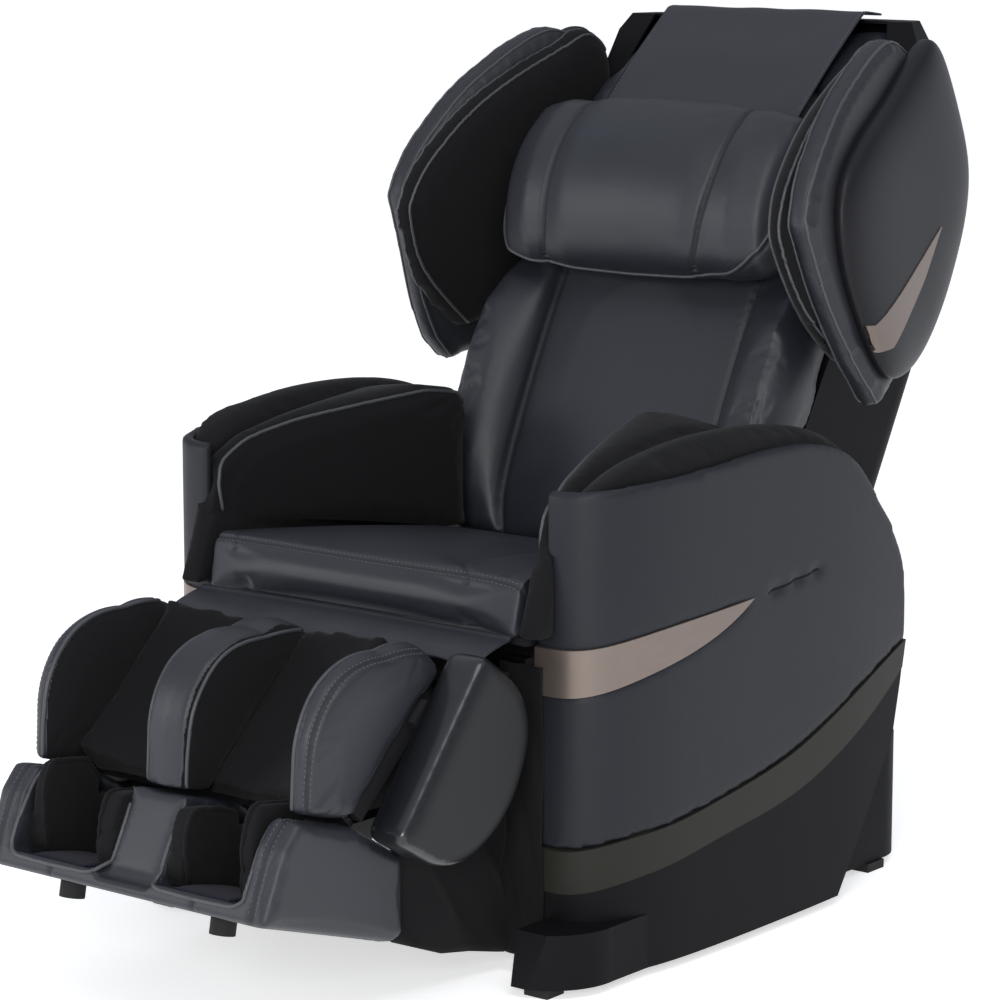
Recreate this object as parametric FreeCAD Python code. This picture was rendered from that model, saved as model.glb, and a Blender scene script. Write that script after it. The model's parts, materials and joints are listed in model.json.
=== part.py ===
"""Massage chair in millimetres: +Z up, the sitter faces -Y and X = 0 is the plane of symmetry.

Points are written in the design frame, whose Y = 0 is the front edge of the arms. Every piece is moved
by FRAME_SHIFT_Y when it is saved, so that the middle of the bounding box stands at Y = 0. Left and right
are the sitter's, so left is the +X side.
"""
import FreeCAD, Part
import math
import os

Vector = FreeCAD.Vector

# Overall sizes
FRAME_SHIFT_Y = -256.0
FOOT_HEIGHT = 12.0

# Backrest: its front plane starts behind the seat and leans back, and the recline hinge lies under it
BACK_START_Y = 436.0
BACK_START_Z = 450.0
BACK_LEAN_DEG = 26.7
BACK_HALF_WIDTH = 250.0
CUSHION_DEPTH = 75.0
RECLINE_Y = 445.0
RECLINE_Z = 425.0

# Leg rest: its tray runs down and forward from the swing hinge
LEG_TRAY_Y = -252.3
LEG_TRAY_Z = 278.6
LEG_DROP_DEG = 42.2
SWING_Y = -45.0
SWING_Z = 370.0
LEG_HALF_WIDTH = 236.0

# Seat
SEAT_HALF_WIDTH = 260.0
SEAT_FRONT_Y = -39.0
SEAT_REAR_Y = 420.0
SEAT_FRONT_UNDER_Z = 437.0
SEAT_REAR_UNDER_Z = 400.0
PAN_THICKNESS = 10.0
GAP = 0.5

# Arms
ARM_INNER_X = 266.0
ARM_UPPER_INNER_X = 283.0
ARM_STEP_Z = 436.0
ARM_SKIN = 16.0
ARM_PLAN_INNER_X = 150.0
ARM_PLAN_REAR_Y = 800.0
ARM_PLAN = ((284.0, 0.0), (350.0, 25.0), (375.0, 90.0), (385.0, 185.0), (388.0, 360.0), (383.0, 560.0),
            (366.0, 710.0), (352.0, 800.0))
ARM_TOP_EDGE = ((-20.0, 614.0), (23.0, 622.0), (91.0, 626.0), (182.0, 630.0), (286.0, 637.0),
                (401.0, 638.0), (493.0, 619.0), (546.0, 592.0), (599.0, 540.0), (646.0, 490.0),
                (680.0, 430.0), (689.0, 375.0), (687.0, 330.0))
BAND_UPPER_EDGE = ((-20.0, 160.0), (24.0, 178.0), (114.0, 188.0), (229.0, 203.0), (386.0, 231.0),
                   (532.0, 280.0), (687.0, 330.0))
BAND_LOWER_EDGE = ((-20.0, 106.0), (25.0, 123.0), (115.0, 136.0), (230.0, 153.0), (388.0, 175.0),
                   (486.0, 204.0), (677.0, 292.0))
PLINTH_REAR = ((672.0, 271.0), (652.0, 204.0), (504.0, FOOT_HEIGHT))

# Steel frame
TUBE = 30.0
RAIL_INNER_X = 285.0
RAIL_OUTER_X = 315.0

FRAME_FRONT_Y = 95.0
REAR_POST_Y = 425.0
SEAT_RAIL_Z = 362.0
REAR_POST_TOP_Z = 455.0
ARM_POST_X = (303.0, 318.0)
ARM_RAIL_Z = (572.0, 590.0)
# Tubes of the left side as x, y and z ranges: floor rail, front and rear upright, seat rail, the two posts
# and the rail of the arm, and the two hangers under the seat rail
SIDE_TUBES = ((RAIL_INNER_X, RAIL_OUTER_X, 92, 725, FOOT_HEIGHT, FOOT_HEIGHT + TUBE),
              (RAIL_INNER_X, RAIL_OUTER_X, FRAME_FRONT_Y, FRAME_FRONT_Y + TUBE, FOOT_HEIGHT, 414),
              (RAIL_INNER_X, RAIL_OUTER_X, REAR_POST_Y, REAR_POST_Y + 40, FOOT_HEIGHT, REAR_POST_TOP_Z),
              (RAIL_INNER_X, RAIL_OUTER_X, FRAME_FRONT_Y, REAR_POST_Y, SEAT_RAIL_Z, SEAT_RAIL_Z + TUBE),
              (*ARM_POST_X, FRAME_FRONT_Y, FRAME_FRONT_Y + 25, SEAT_RAIL_Z + TUBE, ARM_RAIL_Z[1]),
              (*ARM_POST_X, REAR_POST_Y - 25, REAR_POST_Y, SEAT_RAIL_Z + TUBE, ARM_RAIL_Z[1]),
              (*ARM_POST_X, FRAME_FRONT_Y, REAR_POST_Y, *ARM_RAIL_Z),
              (RAIL_INNER_X, RAIL_OUTER_X, 250, 275, 283, SEAT_RAIL_Z + TUBE),
              (RAIL_INNER_X, RAIL_OUTER_X, 124, 149, 325, SEAT_RAIL_Z + TUBE))
# Cross tubes as y and z ranges: the recline and leg rest motors' tubes, the three floor tubes, the floor tray
CROSS_HALF = RAIL_OUTER_X - 5.0
CROSS_TUBES = ((250, 275, 283, 309), (124, 149, 325, 351), (92, 122, FOOT_HEIGHT, FOOT_HEIGHT + TUBE),
               (425, 455, FOOT_HEIGHT, FOOT_HEIGHT + TUBE), (695, 725, FOOT_HEIGHT, FOOT_HEIGHT + TUBE),
               (450, 700, FOOT_HEIGHT, FOOT_HEIGHT + 2))
PAN_FRONT_Y = -10.0
PAN_REAR_Y = 412.0
SWING_PLATE_X = (224.5, 230.0)

# Hinge pins, with the radial clearance of a running fit
PIN_RADIUS = 8.0
RUNNING_FIT = 0.05
HINGE_PIN_INNER_X = 216.0
LEVER_PIN_RADIUS = 6.0

# Motors that drive the two hinges: lever lengths and the half angle that each lever swings through
RECLINE_LEVER = 90.0
RECLINE_HALF_TRAVEL_DEG = 22.5
SWING_LEVER = 80.0
SWING_MIDDLE_DEG = 12.5
ROD_RADIUS = 8.0
RECLINE_MOTOR_X = 60.0
SWING_MOTOR_X = -60.0
RECLINE_AXIS_Z = 338.4
SWING_AXIS_Z = 298.2

# Seat profile (y, z) in the middle: top of the front face, the rolled edge in two points, and the top
SEAT_FACE_TOP = (-27.0, 494.0)
SEAT_ROLL = ((-20.0, 508.0), (6.0, 513.0))
SEAT_TOP_MIDDLE = (200.0, 491.0)
SEAT_REAR_TOP_Z = 455.0
SEAT_CROWN = 4.0
SEAT_SIDE_INSET = 8.0
SEAT_ROWS_X = (-260, -256, -244, -212, -150, -75, 75, 150, 212, 244, 256, 260)

# Arm pad sections: y, inner x, top z, z at the seat, rounding of the top and slope of the section
ARM_PAD_SECTIONS = ((16, 268, 604, 524, 4, 0.32), (60, 258, 630, 513, 2, 0.0), (134, 236, 648, 505, 0, 0.0),
                    (240, 200, 662, 492, 0, 0.0), (330, 172, 671, 478, 0, 0.0), (385, 162, 663, 468, 2, 0.0),
                    (408, 172, 636, 463, 6, 0.0))
ARM_PAD_OUTER_X = 298.5
ARM_PAD_SKIRT_X = 261.5

# Arm top: crest and underside in (y, z), and its rows: x and how far the crest is lower there
ARM_TOP_CREST = ((40, 624), (130, 652), (285, 664), (430, 652), (500, 632), (560, 592), (620, 524))
ARM_TOP_UNDER = ((606, 512), (560, 560), (500, 592), (60, 592), (18, 596))
ARM_TOP_ROWS = ((299.5, 12), (322, 2), (350, 0), (384, 16))

# Backrest cushion rows: u, front w, rear w, half width, groove depth, crown and how far its side bolsters
# stand forward
BACK_ROWS = ((4, 10, 75, 240, 2, 4, 4), (60, 0, 75, 258, 2, 8, 28), (150, 0, 75, 270, 3, 8, 52),
             (250, 0, 75, 274, 3, 8, 58), (330, 0, 75, 272, 3, 8, 52), (375, 0, 75, 267, 2, 8, 34),
             (415, 0, 75, 260, 2, 8, 8), (560, 2, 75, 244, 2, 10, 10), (640, 8, 75, 235, 1, 5, 5),
             (700, 26, 84, 226, 1, 3, 3), (765, 66, 110, 216, 1, 2, 2), (828, 112, 138, 200, 1, 1, 1))
SEAM_X = 158.0

# Pillow rows from its end to its middle: x, half height and depth
PILLOW_ROWS = ((238, 88, 68), (214, 114, 100), (170, 122, 115), (137, 120, 112), (103, 125, 123),
               (0, 127, 130))
PILLOW_MIDDLE_U = 506.0
PILLOW_REAR_W = -16.0
FLAP_HALF_WIDTH = 168.0

# The hood's cross sections: height u, half width, rear w and corner radius
HOOD_SECTIONS = ((-10.0, 250.0, 326.0, 50.0), (203.0, 252.0, 318.0, 50.0), (416.0, 266.0, 308.0, 50.0),
                 (560.0, 284.6, 292.0, 55.0), (600.0, 279.8, 284.0, 55.0), (720.0, 265.4, 248.0, 60.0),
                 (800.0, 255.8, 192.0, 55.0), (850.0, 226.0, 132.0, 30.0))
HOOD_FRONT_W = 78.0
HOOD_TOP_Z = 1153.0
HOOD_SKIN = 4.0
HOOD_WINDOW = ((238.0, -60.0), (238.0, 660.0), (231.0, 700.0), (219.0, 765.0), (199.0, 828.0), (199.0, 870.0))

# The wings lean in and flare out: for every step up from WING_LEVEL_U their planes come WING_TILT closer to
# the middle, and for every step forward they go WING_FLARE away from it
WING_TILT = 0.12
WING_LEVEL_U = 430.0
WING_FLARE = 0.1

# Leaf outlines of the wings in (u, w), each point the end or the middle of an arc
WING_SHELL_LEAF = ((485, -146), (568, -118), (647, -64), (717, -21), (776, 19), (793, 43), (782, 78),
                   (731, 155), (674, 215), (600, 231), (514, 219), (444, 200), (375, 166), (321, 112),
                   (309, 49), (393, -91))
WING_PAD_LEAF = ((418, -194), (474, -198), (528, -186), (599, -160), (655, -126), (709, -87), (743, -51),
                 (752, -11), (740, 51), (701, 121), (635, 177), (546, 197), (446, 181), (324, 131),
                 (269, 89), (328, -63))
WING_INNER_LEAF = ((396, -199), (428, -207), (474, -202), (555, -171), (616, -134), (677, -86), (729, -38),
                   (764, -5), (756, 46), (717, 80), (643, 87), (563, 88), (483, 87), (403, 83), (306, 46),
                   (341, -114))
WING_SHELL_LEVELS = ((337, 0.99), (349, 1.0), (358, 0.985), (365, 0.945), (369.5, 0.88), (372, 0.78))
WING_PAD_LEVELS = ((301, 0.97), (316, 1.0), (336.5, 0.98))
WING_INNER_LEVELS = ((268, 0.74), (274, 0.88), (286, 0.97), (300.5, 1.0))
ACCENT_FLOOR_X = 357.4

# Roller carriage: its height, the depth of its screw, shaft and rollers, and the rollers' own sizes
CARRIAGE_U = 430.0
SCREW_W = 213.0
SCREW_RADIUS = 8.0
SHAFT_W = 145.0
SHAFT_RADIUS = 10.0
BOSS_RADIUS = 16.0
ARM_X = 88.0
AXLE_RADIUS = 7.0
ROLLER_REACH = 74.0
ROLLER_W = 126.0
ROLLER_RADIUS = 29.0
ROLLER_WIDTH = 22.0

# Calf rest: the ridge of its pads in (s, n) from the knee to the foot, the pads' rows as x and inset, and
# the cloth wells as s, height in the middle of a well, height at its walls
CALF_RIDGE = ((-186, 36), (-178, 74), (-130, 120), (-80, 160), (-35, 172), (18, 161), (60, 131), (99, 95))
RIDGE_END_S = 59.0
CALF_PAD_EDGE = 4.0
CALF_PAD_ROWS = ((182, 40), (194, 13), (209, 0), (224, 6), (236, 18))
CENTRE_PAD_ROWS = ((-38, 14), (-28, 3), (0, 0), (28, 3), (38, 14))
WELL_ROWS = ((-172, 82, 86), (-150, 66, 84), (-110, 53, 80), (-60, 48, 78), (60, 50, 80))
TRAY_THICKNESS = 26.0
CENTRE_REST_N = 54.0
CALF_PAD_INNER_X = 182.0
CENTRE_HALF_WIDTH = 38.0
SLIDE_ROD_X = 200.0
SLIDE_ROD_N = 13.0
SLIDE_ROD_RADIUS = 7.0
CALF_BOX_OUTER_X = 297.0
CALF_BOX_ROUNDING = 9.0

# Foot rest: outline of its sides in (y, z), its wells and the slope of their soles
FOOT_SIDE = ((-404, 280), (-430, 252), (-466, 168), (-232, 94), (-214, 100), (-214, 200), (-297, 250))
WELL_INNER_X = 44.0
WELL_OUTER_X = 192.0
SOLE_FRONT = (-456.0, 184.0)
SOLE_HEEL = (-236.0, 118.0)
SOLE_HALF_X = (72.5, 163.5)
BUMPER_X = 125.0

# Leg skirt: its floor run in (y, z), the half width of its sides and their folds
SKIRT_RUN = ((-226, 90), (-176, 70), (-130, 52), (-76, 42), (-22, 28), (-3, 24))
SKIRT_HALF = 227.0
SKIRT_FOLD = 6.0
SKIRT_FOLD_STEP = 17.5


def along_back(x):
    """Places (u, w) at one x: u runs up the backrest and w runs back from its front plane."""
    lean = math.radians(BACK_LEAN_DEG)

    def place(u, w):
        y = BACK_START_Y + u * math.sin(lean) + w * math.cos(lean)
        z = BACK_START_Z + u * math.cos(lean) - w * math.sin(lean)
        return Vector(x, y, z)
    return place


def across_back(u):
    """Places (x, w) in the cross section of the backrest at the height u."""
    def place(x, w):
        return along_back(x)(u, w)
    return place


def along_leg(x):
    """Places (s, n) at one x: s runs down the leg rest and n stands out of its tray."""
    drop = math.radians(LEG_DROP_DEG)

    def place(s, n):
        y = LEG_TRAY_Y - s * math.cos(drop) - n * math.sin(drop)
        z = LEG_TRAY_Z - s * math.sin(drop) + n * math.cos(drop)
        return Vector(x, y, z)
    return place


def across_leg(s):
    """Places (x, n) in the cross section of the leg rest at the distance s."""
    def place(x, n):
        return along_leg(x)(s, n)
    return place


def side_view(x):
    """Places (y, z) at one x."""
    def place(y, z):
        return Vector(x, y, z)
    return place


def top_view(z):
    """Places (x, y) at one z."""
    def place(x, y):
        return Vector(x, y, z)
    return place


def front_view(y):
    """Places (x, z) at one y."""
    def place(x, z):
        return Vector(x, y, z)
    return place


def path(place, start, *steps):
    """Closed wire from start. A step is a point for a line, or (through, end) for an arc."""
    edges = []
    here = place(*start)
    for step in steps:
        if isinstance(step[0], tuple):
            through = place(*step[0])
            end = place(*step[1])
            edges.append(Part.Arc(here, through, end).toShape())
        else:
            end = place(*step)
            edges.append(Part.LineSegment(here, end).toShape())
        here = end
    if here.distanceToPoint(place(*start)) > 1e-6:
        edges.append(Part.LineSegment(here, place(*start)).toShape())
    return Part.Wire(edges)


def polygon(place, points):
    """Closed wire of straight lines."""
    return Part.makePolygon([place(*point) for point in points] + [place(*points[0])])


def curve(place, points):
    """Smooth edge through the points."""
    line = Part.BSplineCurve()
    line.interpolate([place(*point) for point in points])
    return line.toShape()


def rounded(place, points, radius):
    """Closed wire of straight lines whose corners are rounded by tangent arcs."""
    corners = [place(*point) for point in points]
    edges = []
    count = len(corners)
    ends = []
    for i in range(count):
        corner = corners[i]
        before = (corners[i - 1] - corner).normalize()
        after = (corners[(i + 1) % count] - corner).normalize()
        half = before.getAngle(after) / 2.0
        cut = radius / math.tan(half)
        middle = (before + after).normalize()
        arc = (corner + before * cut,
               corner + middle * (radius / math.sin(half) - radius),
               corner + after * cut)
        ends.append(arc)
    for i in range(count):
        first = ends[i]
        second = ends[(i + 1) % count]
        edges.append(Part.Arc(*first).toShape())
        edges.append(Part.LineSegment(first[2], second[0]).toShape())
    return Part.Wire(edges)


def slab(wire, dx=0.0, dy=0.0, dz=0.0):
    """Solid that a flat closed wire sweeps along one straight move."""
    return Part.Face(wire).extrude(Vector(dx, dy, dz))


def loft(wires):
    """Solid of straight spans from each closed wire to the next."""
    return Part.makeLoft(wires, True, True)


def box(x0, x1, y0, y1, z0, z1):
    """Block between two corners."""
    return Part.makeBox(x1 - x0, y1 - y0, z1 - z0, Vector(x0, y0, z0))


def rod(start, end, radius):
    """Round bar between two points."""
    along = end - start
    return Part.makeCylinder(radius, along.Length, start, along)


def cross_rod(x0, x1, y, z, radius):
    """Round bar along X."""
    return rod(Vector(x0, y, z), Vector(x1, y, z), radius)


def mirrored(shape):
    """The same shape on the other side of X = 0."""
    return shape.mirror(Vector(0, 0, 0), Vector(1, 0, 0))


def both(shape):
    """The shape and its mirror image, as a list."""
    return [shape, mirrored(shape)]


def joined(shapes):
    """One solid from solids that touch or overlap."""
    return shapes[0].fuse(shapes[1:]).removeSplitter()


def save(name, shape):
    """Moves a piece into the saved frame and writes it as its own file."""
    placed = shape.copy()
    placed.translate(Vector(0, FRAME_SHIFT_Y, 0))
    placed.exportStep("parts/" + name + ".step")


def save_pair(name, shape):
    """Writes a left piece and its mirrored right one."""
    save(name + "_left", shape)
    save(name + "_right", mirrored(shape))


# Base

def pan_top(y):
    """Height of the seat pan's upper face."""
    slope = (SEAT_REAR_UNDER_Z - SEAT_FRONT_UNDER_Z) / (SEAT_REAR_Y - SEAT_FRONT_Y)
    return SEAT_FRONT_UNDER_Z + (y - SEAT_FRONT_Y) * slope - GAP


def make_seat_pan():
    """Sheet under the seat cushion."""
    front = pan_top(PAN_FRONT_Y)
    rear = pan_top(PAN_REAR_Y)
    outline = polygon(side_view(-SEAT_HALF_WIDTH), ((PAN_FRONT_Y, front), (PAN_REAR_Y, rear),
                                                    (PAN_REAR_Y, rear - PAN_THICKNESS),
                                                    (PAN_FRONT_Y, front - PAN_THICKNESS)))
    return slab(outline, dx=2 * SEAT_HALF_WIDTH)


def make_hinge_bracket():
    """Left bracket of the recline hinge with its pin, on the rear upright."""
    ear = box(256, 264, RECLINE_Y - 20, RECLINE_Y + 20, RECLINE_Z - 26, RECLINE_Z + 26)
    block = box(260, RAIL_INNER_X + 2, RECLINE_Y - 14, RECLINE_Y + 14, RECLINE_Z - 20, RECLINE_Z + 20)
    pin = cross_rod(HINGE_PIN_INNER_X, 262, RECLINE_Y, RECLINE_Z, PIN_RADIUS)
    return joined([ear, block, pin])


def make_swing_bracket():
    """Left bracket of the leg rest hinge with its pin, reaching forward from the front cross tube."""
    inner, outer = SWING_PLATE_X
    plate = box(inner, outer, SWING_Y - 18, FRAME_FRONT_Y + 5, SWING_Z - 16, SWING_Z + 18)
    rounded_end = cross_rod(inner, outer, SWING_Y, SWING_Z, 20)
    pin = cross_rod(inner - 28.5, outer, SWING_Y, SWING_Z, PIN_RADIUS)
    return joined([plate, rounded_end, pin])


def make_base_frame():
    """Welded steel frame with the seat pan and both pairs of hinge pins."""
    left = [box(*tube) for tube in SIDE_TUBES] + [make_hinge_bracket(), make_swing_bracket()]
    right = [mirrored(piece) for piece in left]
    cross = [box(-CROSS_HALF, CROSS_HALF, *tube) for tube in CROSS_TUBES]
    for y0, y1, z0 in ((95, 125, 384), (378, 402, 366)):
        top = pan_top((y0 + y1) / 2) - PAN_THICKNESS + 1
        cross.append(box(-CROSS_HALF, CROSS_HALF, y0, y1, z0, top))
    return joined(left + right + cross + [make_seat_pan()])


def make_floor_feet():
    """Four rubber blocks: two under the plinth toes and two under the floor rails."""
    front = box(298, 334, -62, -28, 0, FOOT_HEIGHT)
    rear = box(296, 336, 656, 696, 0, FOOT_HEIGHT)
    return Part.makeCompound(both(front) + both(rear))


def moved_out(points, offset):
    """The points of an open outline, each moved by offset along its outward normal."""
    moved = []
    for i in range(len(points)):
        before = points[max(i - 1, 0)]
        after = points[min(i + 1, len(points) - 1)]
        run = (after[0] - before[0], after[1] - before[1])
        length = math.hypot(*run)
        moved.append((points[i][0] + offset * run[1] / length, points[i][1] - offset * run[0] / length))
    return moved


def arm_plan(offset):
    """Face of the arm's plan at z = 0, moved outwards by offset at its front and outer side."""
    place = top_view(0)
    outer = moved_out(ARM_PLAN, offset)
    corners = [place(*outer[-1]), place(ARM_PLAN_INNER_X, ARM_PLAN_REAR_Y), place(ARM_PLAN_INNER_X, -offset),
               place(ARM_PLAN[0][0] - 14.0, -offset), place(*outer[0])]
    straight = Part.makePolygon(corners).Edges
    return Part.Face(Part.Wire([curve(place, outer)] + straight))


def arm_column(offset):
    """The arm's plan as a tall solid."""
    height = 700.0
    return arm_plan(offset).extrude(Vector(0, 0, height))


def arm_wall(outside, inside):
    """Upright wall between two offsets of the arm's plan, kept outside ARM_INNER_X."""
    lower = box(ARM_INNER_X, 500, -100, ARM_PLAN_REAR_Y - 70, 0, ARM_STEP_Z)
    upper = box(ARM_UPPER_INNER_X, 500, -100, ARM_PLAN_REAR_Y - 70, ARM_STEP_Z, 700)
    keep = joined([lower, upper])
    return arm_column(outside).cut(arm_column(inside)).common(keep)


def side_prism(wire):
    """Prism through the left arm from a closed wire drawn at x = 0."""
    return slab(wire, dx=500.0)


def leather_outline():
    """Outline of the side panel between its top edge and the band."""
    place = side_view(0)
    top = curve(place, ARM_TOP_EDGE)
    lower = curve(place, BAND_UPPER_EDGE)
    front = Part.LineSegment(place(*BAND_UPPER_EDGE[0]), place(*ARM_TOP_EDGE[0])).toShape()
    return Part.Wire([front, top, lower])


def band_outline():
    """Outline of the olive band, a hair narrower than the space between its neighbours."""
    place = side_view(0)
    hair = 0.4
    upper = [(y, z - hair) for y, z in BAND_UPPER_EDGE]
    lower = [(y, z + hair) for y, z in BAND_LOWER_EDGE]
    edges = [curve(place, upper), curve(place, lower),
             Part.LineSegment(place(*upper[0]), place(*lower[0])).toShape(),
             Part.LineSegment(place(*upper[-1]), place(*lower[-1])).toShape()]
    return Part.Wire(Part.sortEdges(edges)[0])


def plinth_outline():
    """Outline of the lower cover under the band."""
    place = side_view(0)
    lower = curve(place, BAND_LOWER_EDGE)
    points = [place(*BAND_LOWER_EDGE[-1])] + [place(*point) for point in PLINTH_REAR]
    points += [place(-20.0, FOOT_HEIGHT), place(*BAND_LOWER_EDGE[0])]
    return Part.Wire([lower] + Part.makePolygon(points).Edges)


def trim_outline(margin):
    """Outline of the bronze strip, which tapers to a point, grown by margin."""
    place = side_view(0)
    tip = (297 + margin, 452.5)
    upper = curve(place, ((-20, 419 + margin), (77, 437 + margin), (185, 446 + margin), tip))
    lower = curve(place, (tip, (186, 408 - margin), (94, 388 - margin), (-20, 357 - margin)))
    front = Part.LineSegment(place(-20, 419 + margin), place(-20, 357 - margin)).toShape()
    return Part.Wire(Part.sortEdges([upper, lower, front])[0])


def make_side_panel():
    """Leather covered side with the trim's recess and the narrow slot behind it."""
    panel = arm_wall(0, -ARM_SKIN).common(side_prism(leather_outline()))
    recess = arm_wall(5, -6.5).common(side_prism(trim_outline(0.5)))
    slot_outline = rounded(side_view(0), ((322, 447), (455, 462), (455, 471), (322, 457)), 3)
    slot = arm_wall(5, -7).common(side_prism(slot_outline))
    return panel.cut(recess).cut(slot)


def make_side_trim():
    """Bronze strip in the side panel."""
    return arm_wall(1.0, -6.0).common(side_prism(trim_outline(0)))


def make_side_band():
    """Olive band between the panel and the plinth."""
    return arm_wall(1.0, -ARM_SKIN).common(side_prism(band_outline()))


def make_plinth():
    """Lower cover with the toe that stands forward of the arm."""
    cover = arm_wall(0, -14).common(side_prism(plinth_outline()))
    place = top_view(FOOT_HEIGHT)
    toe_plan = path(place, (288, 90), (288, -76), (308, -76), ((352, -48), (374, 20)),
                    (375, 90))
    toe = slab(toe_plan, dz=70)
    toe_points = ((-76, FOOT_HEIGHT), (-63, 86), (-16, 87), (92, 87), (92, FOOT_HEIGHT))
    toe_side = polygon(side_view(200), toe_points)
    pocket = box(298, 345, -30, 92, FOOT_HEIGHT + 12, 75)
    toe = toe.common(slab(toe_side, dx=300)).cut(pocket)
    return joined([cover, toe])


def make_arm_top():
    """Cloth armrest between the arm pad and the leather side, higher in its middle."""
    def section(x, drop):
        crest = [(y, z - drop) for y, z in ARM_TOP_CREST]
        front = (14, 604 - drop * 0.5)
        return path(side_view(x), front, (crest[0], crest[1]), (crest[2], crest[3]), (crest[4], crest[5]),
                    crest[6], *ARM_TOP_UNDER)
    body = loft([section(*row) for row in ARM_TOP_ROWS])
    return body.common(arm_column(-ARM_SKIN - GAP))


def make_arm_pad():
    """Piped wedge beside the sitter. It reaches forward at the seat, grows inwards to the rear and rests on
    the seat cushion, with a skirt beside it."""
    skirt_z = SEAT_FRONT_UNDER_Z

    def section(y, inner_x, top_z, seat_z, round_out, slope):
        def place(x, z):
            return Vector(x, y - slope * (top_z - z), z)
        turn_x = min(inner_x + 26, ARM_PAD_OUTER_X - 2)
        return path(place, (ARM_PAD_OUTER_X, skirt_z), (ARM_PAD_OUTER_X, top_z - 12 - round_out),
                    (turn_x, top_z - round_out * 0.3), ((inner_x + 7, top_z - 8), (inner_x, top_z - 30)),
                    (inner_x + 1, seat_z), (ARM_PAD_SKIRT_X, seat_z), (ARM_PAD_SKIRT_X, skirt_z))
    body = loft([section(*row) for row in ARM_PAD_SECTIONS])
    wall = arm_column(GAP).cut(arm_column(-ARM_SKIN - GAP))
    return body.cut(wall.common(box(ARM_UPPER_INNER_X - GAP, 500, -100, 800, 0, 700)))


def drawn_in(x, half):
    """How far a cushion is drawn in at x, from 0 in its middle to 1 at its edge."""
    return 1.0 - (1.0 - min(abs(x) / half, 1.0) ** 6) ** 0.5


def make_seat_cushion():
    """Seat with a crown, drawn-in sides and a soft front edge."""
    def section(x):
        inset = SEAT_SIDE_INSET * drawn_in(x, SEAT_HALF_WIDTH)
        crown = SEAT_CROWN * (1 - (x / SEAT_HALF_WIDTH) ** 2)
        drop = inset * 0.6
        face_y, face_z = SEAT_FACE_TOP
        roll = [(y + inset, z - drop) for y, z in SEAT_ROLL]
        top = (SEAT_TOP_MIDDLE[0], SEAT_TOP_MIDDLE[1] - drop + crown)
        return path(side_view(x), (SEAT_FRONT_Y + inset, SEAT_FRONT_UNDER_Z), (face_y + inset, face_z - drop),
                    (roll[0], roll[1]), (top, (SEAT_REAR_Y, SEAT_REAR_TOP_Z - drop)),
                    (SEAT_REAR_Y, SEAT_REAR_UNDER_Z))
    return loft([section(x) for x in SEAT_ROWS_X])


def make_seat_front_strip():
    """Soft strip under the cushion's front edge, narrower where it lies between the calf boxes."""
    half = SEAT_HALF_WIDTH - 4
    nose_half = 232.0
    outline = path(side_view(-half), (-15, 414), (-15, 431.5), (-42, 435.5), ((-72, 441), (-99, 440)),
                   ((-108, 431), (-99, 421)), ((-62, 417), (-36, 414)))
    strip = slab(outline, dx=2 * half)
    for x in (-half, nose_half):
        strip = strip.cut(box(x, x + half - nose_half, -120, -45, 400, 450))
    return strip


def make_rear_cover():
    """Low cover behind the base: a rear wall with two side walls, open on top for the backrest."""
    outside = path(top_view(FOOT_HEIGHT), (-332, 560), (-332, 700), ((-312, 750), (-262, 769)), (262, 769),
                   ((312, 750), (332, 700)), (332, 560))
    inside = path(top_view(FOOT_HEIGHT), (-327, 550), (-327, 700), ((-308, 746), (-262, 764)), (262, 764),
                  ((308, 746), (327, 700)), (327, 550))
    height = 172.0
    walls = slab(outside, dz=height).cut(slab(inside, dz=height))
    lower_edge = polygon(side_view(-400), ((700, 0), (735, FOOT_HEIGHT), (747, FOOT_HEIGHT), (770, 45),
                                           (790, 45), (790, 0)))
    return walls.cut(slab(lower_edge, dx=800)).cut(inlet_opening())


def inlet_opening():
    """Space in the rear cover that the power inlet fills."""
    return box(170, 218, 755, 780, 88, 118)


def make_power_inlet():
    """Recessed mains inlet with three blades."""
    body = box(170.3, 217.7, 745, 769.5, 88.3, 117.7)
    flange = box(167, 221, 769.3, 771, 85, 121)
    recess = box(178, 210, 752, 772, 94, 112)
    shell = joined([body, flange]).cut(recess)
    blade_size = (2.0, 12.0, 7.0)
    blades = []
    for x, z in ((186.0, 98.0), (201.0, 98.0), (193.5, 103.0)):
        blades.append(box(x, x + blade_size[0], 750, 752 + blade_size[1], z, z + blade_size[2]))
    return joined([shell] + blades)


def make_control_box():
    """Housing of the electronics, on the floor cross tubes."""
    outline = rounded(top_view(60), ((-220, 500), (-30, 500), (-30, 650), (-220, 650)), 8)
    feet = [box(-210, -40, 505, 520, FOOT_HEIGHT + 2, 60), box(-210, -40, 630, 645, FOOT_HEIGHT + 2, 60)]
    return joined([slab(outline, dz=80)] + feet)


def make_air_pump():
    """Compressor with its valve block."""
    can = rod(Vector(110, 500, 85), Vector(110, 640, 85), 42)
    valves = box(150, 205, 510, 630, 50, 110)
    bracket = box(80, 200, 520, 620, FOOT_HEIGHT + 2, 52)
    return joined([can, valves, bracket])


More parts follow.
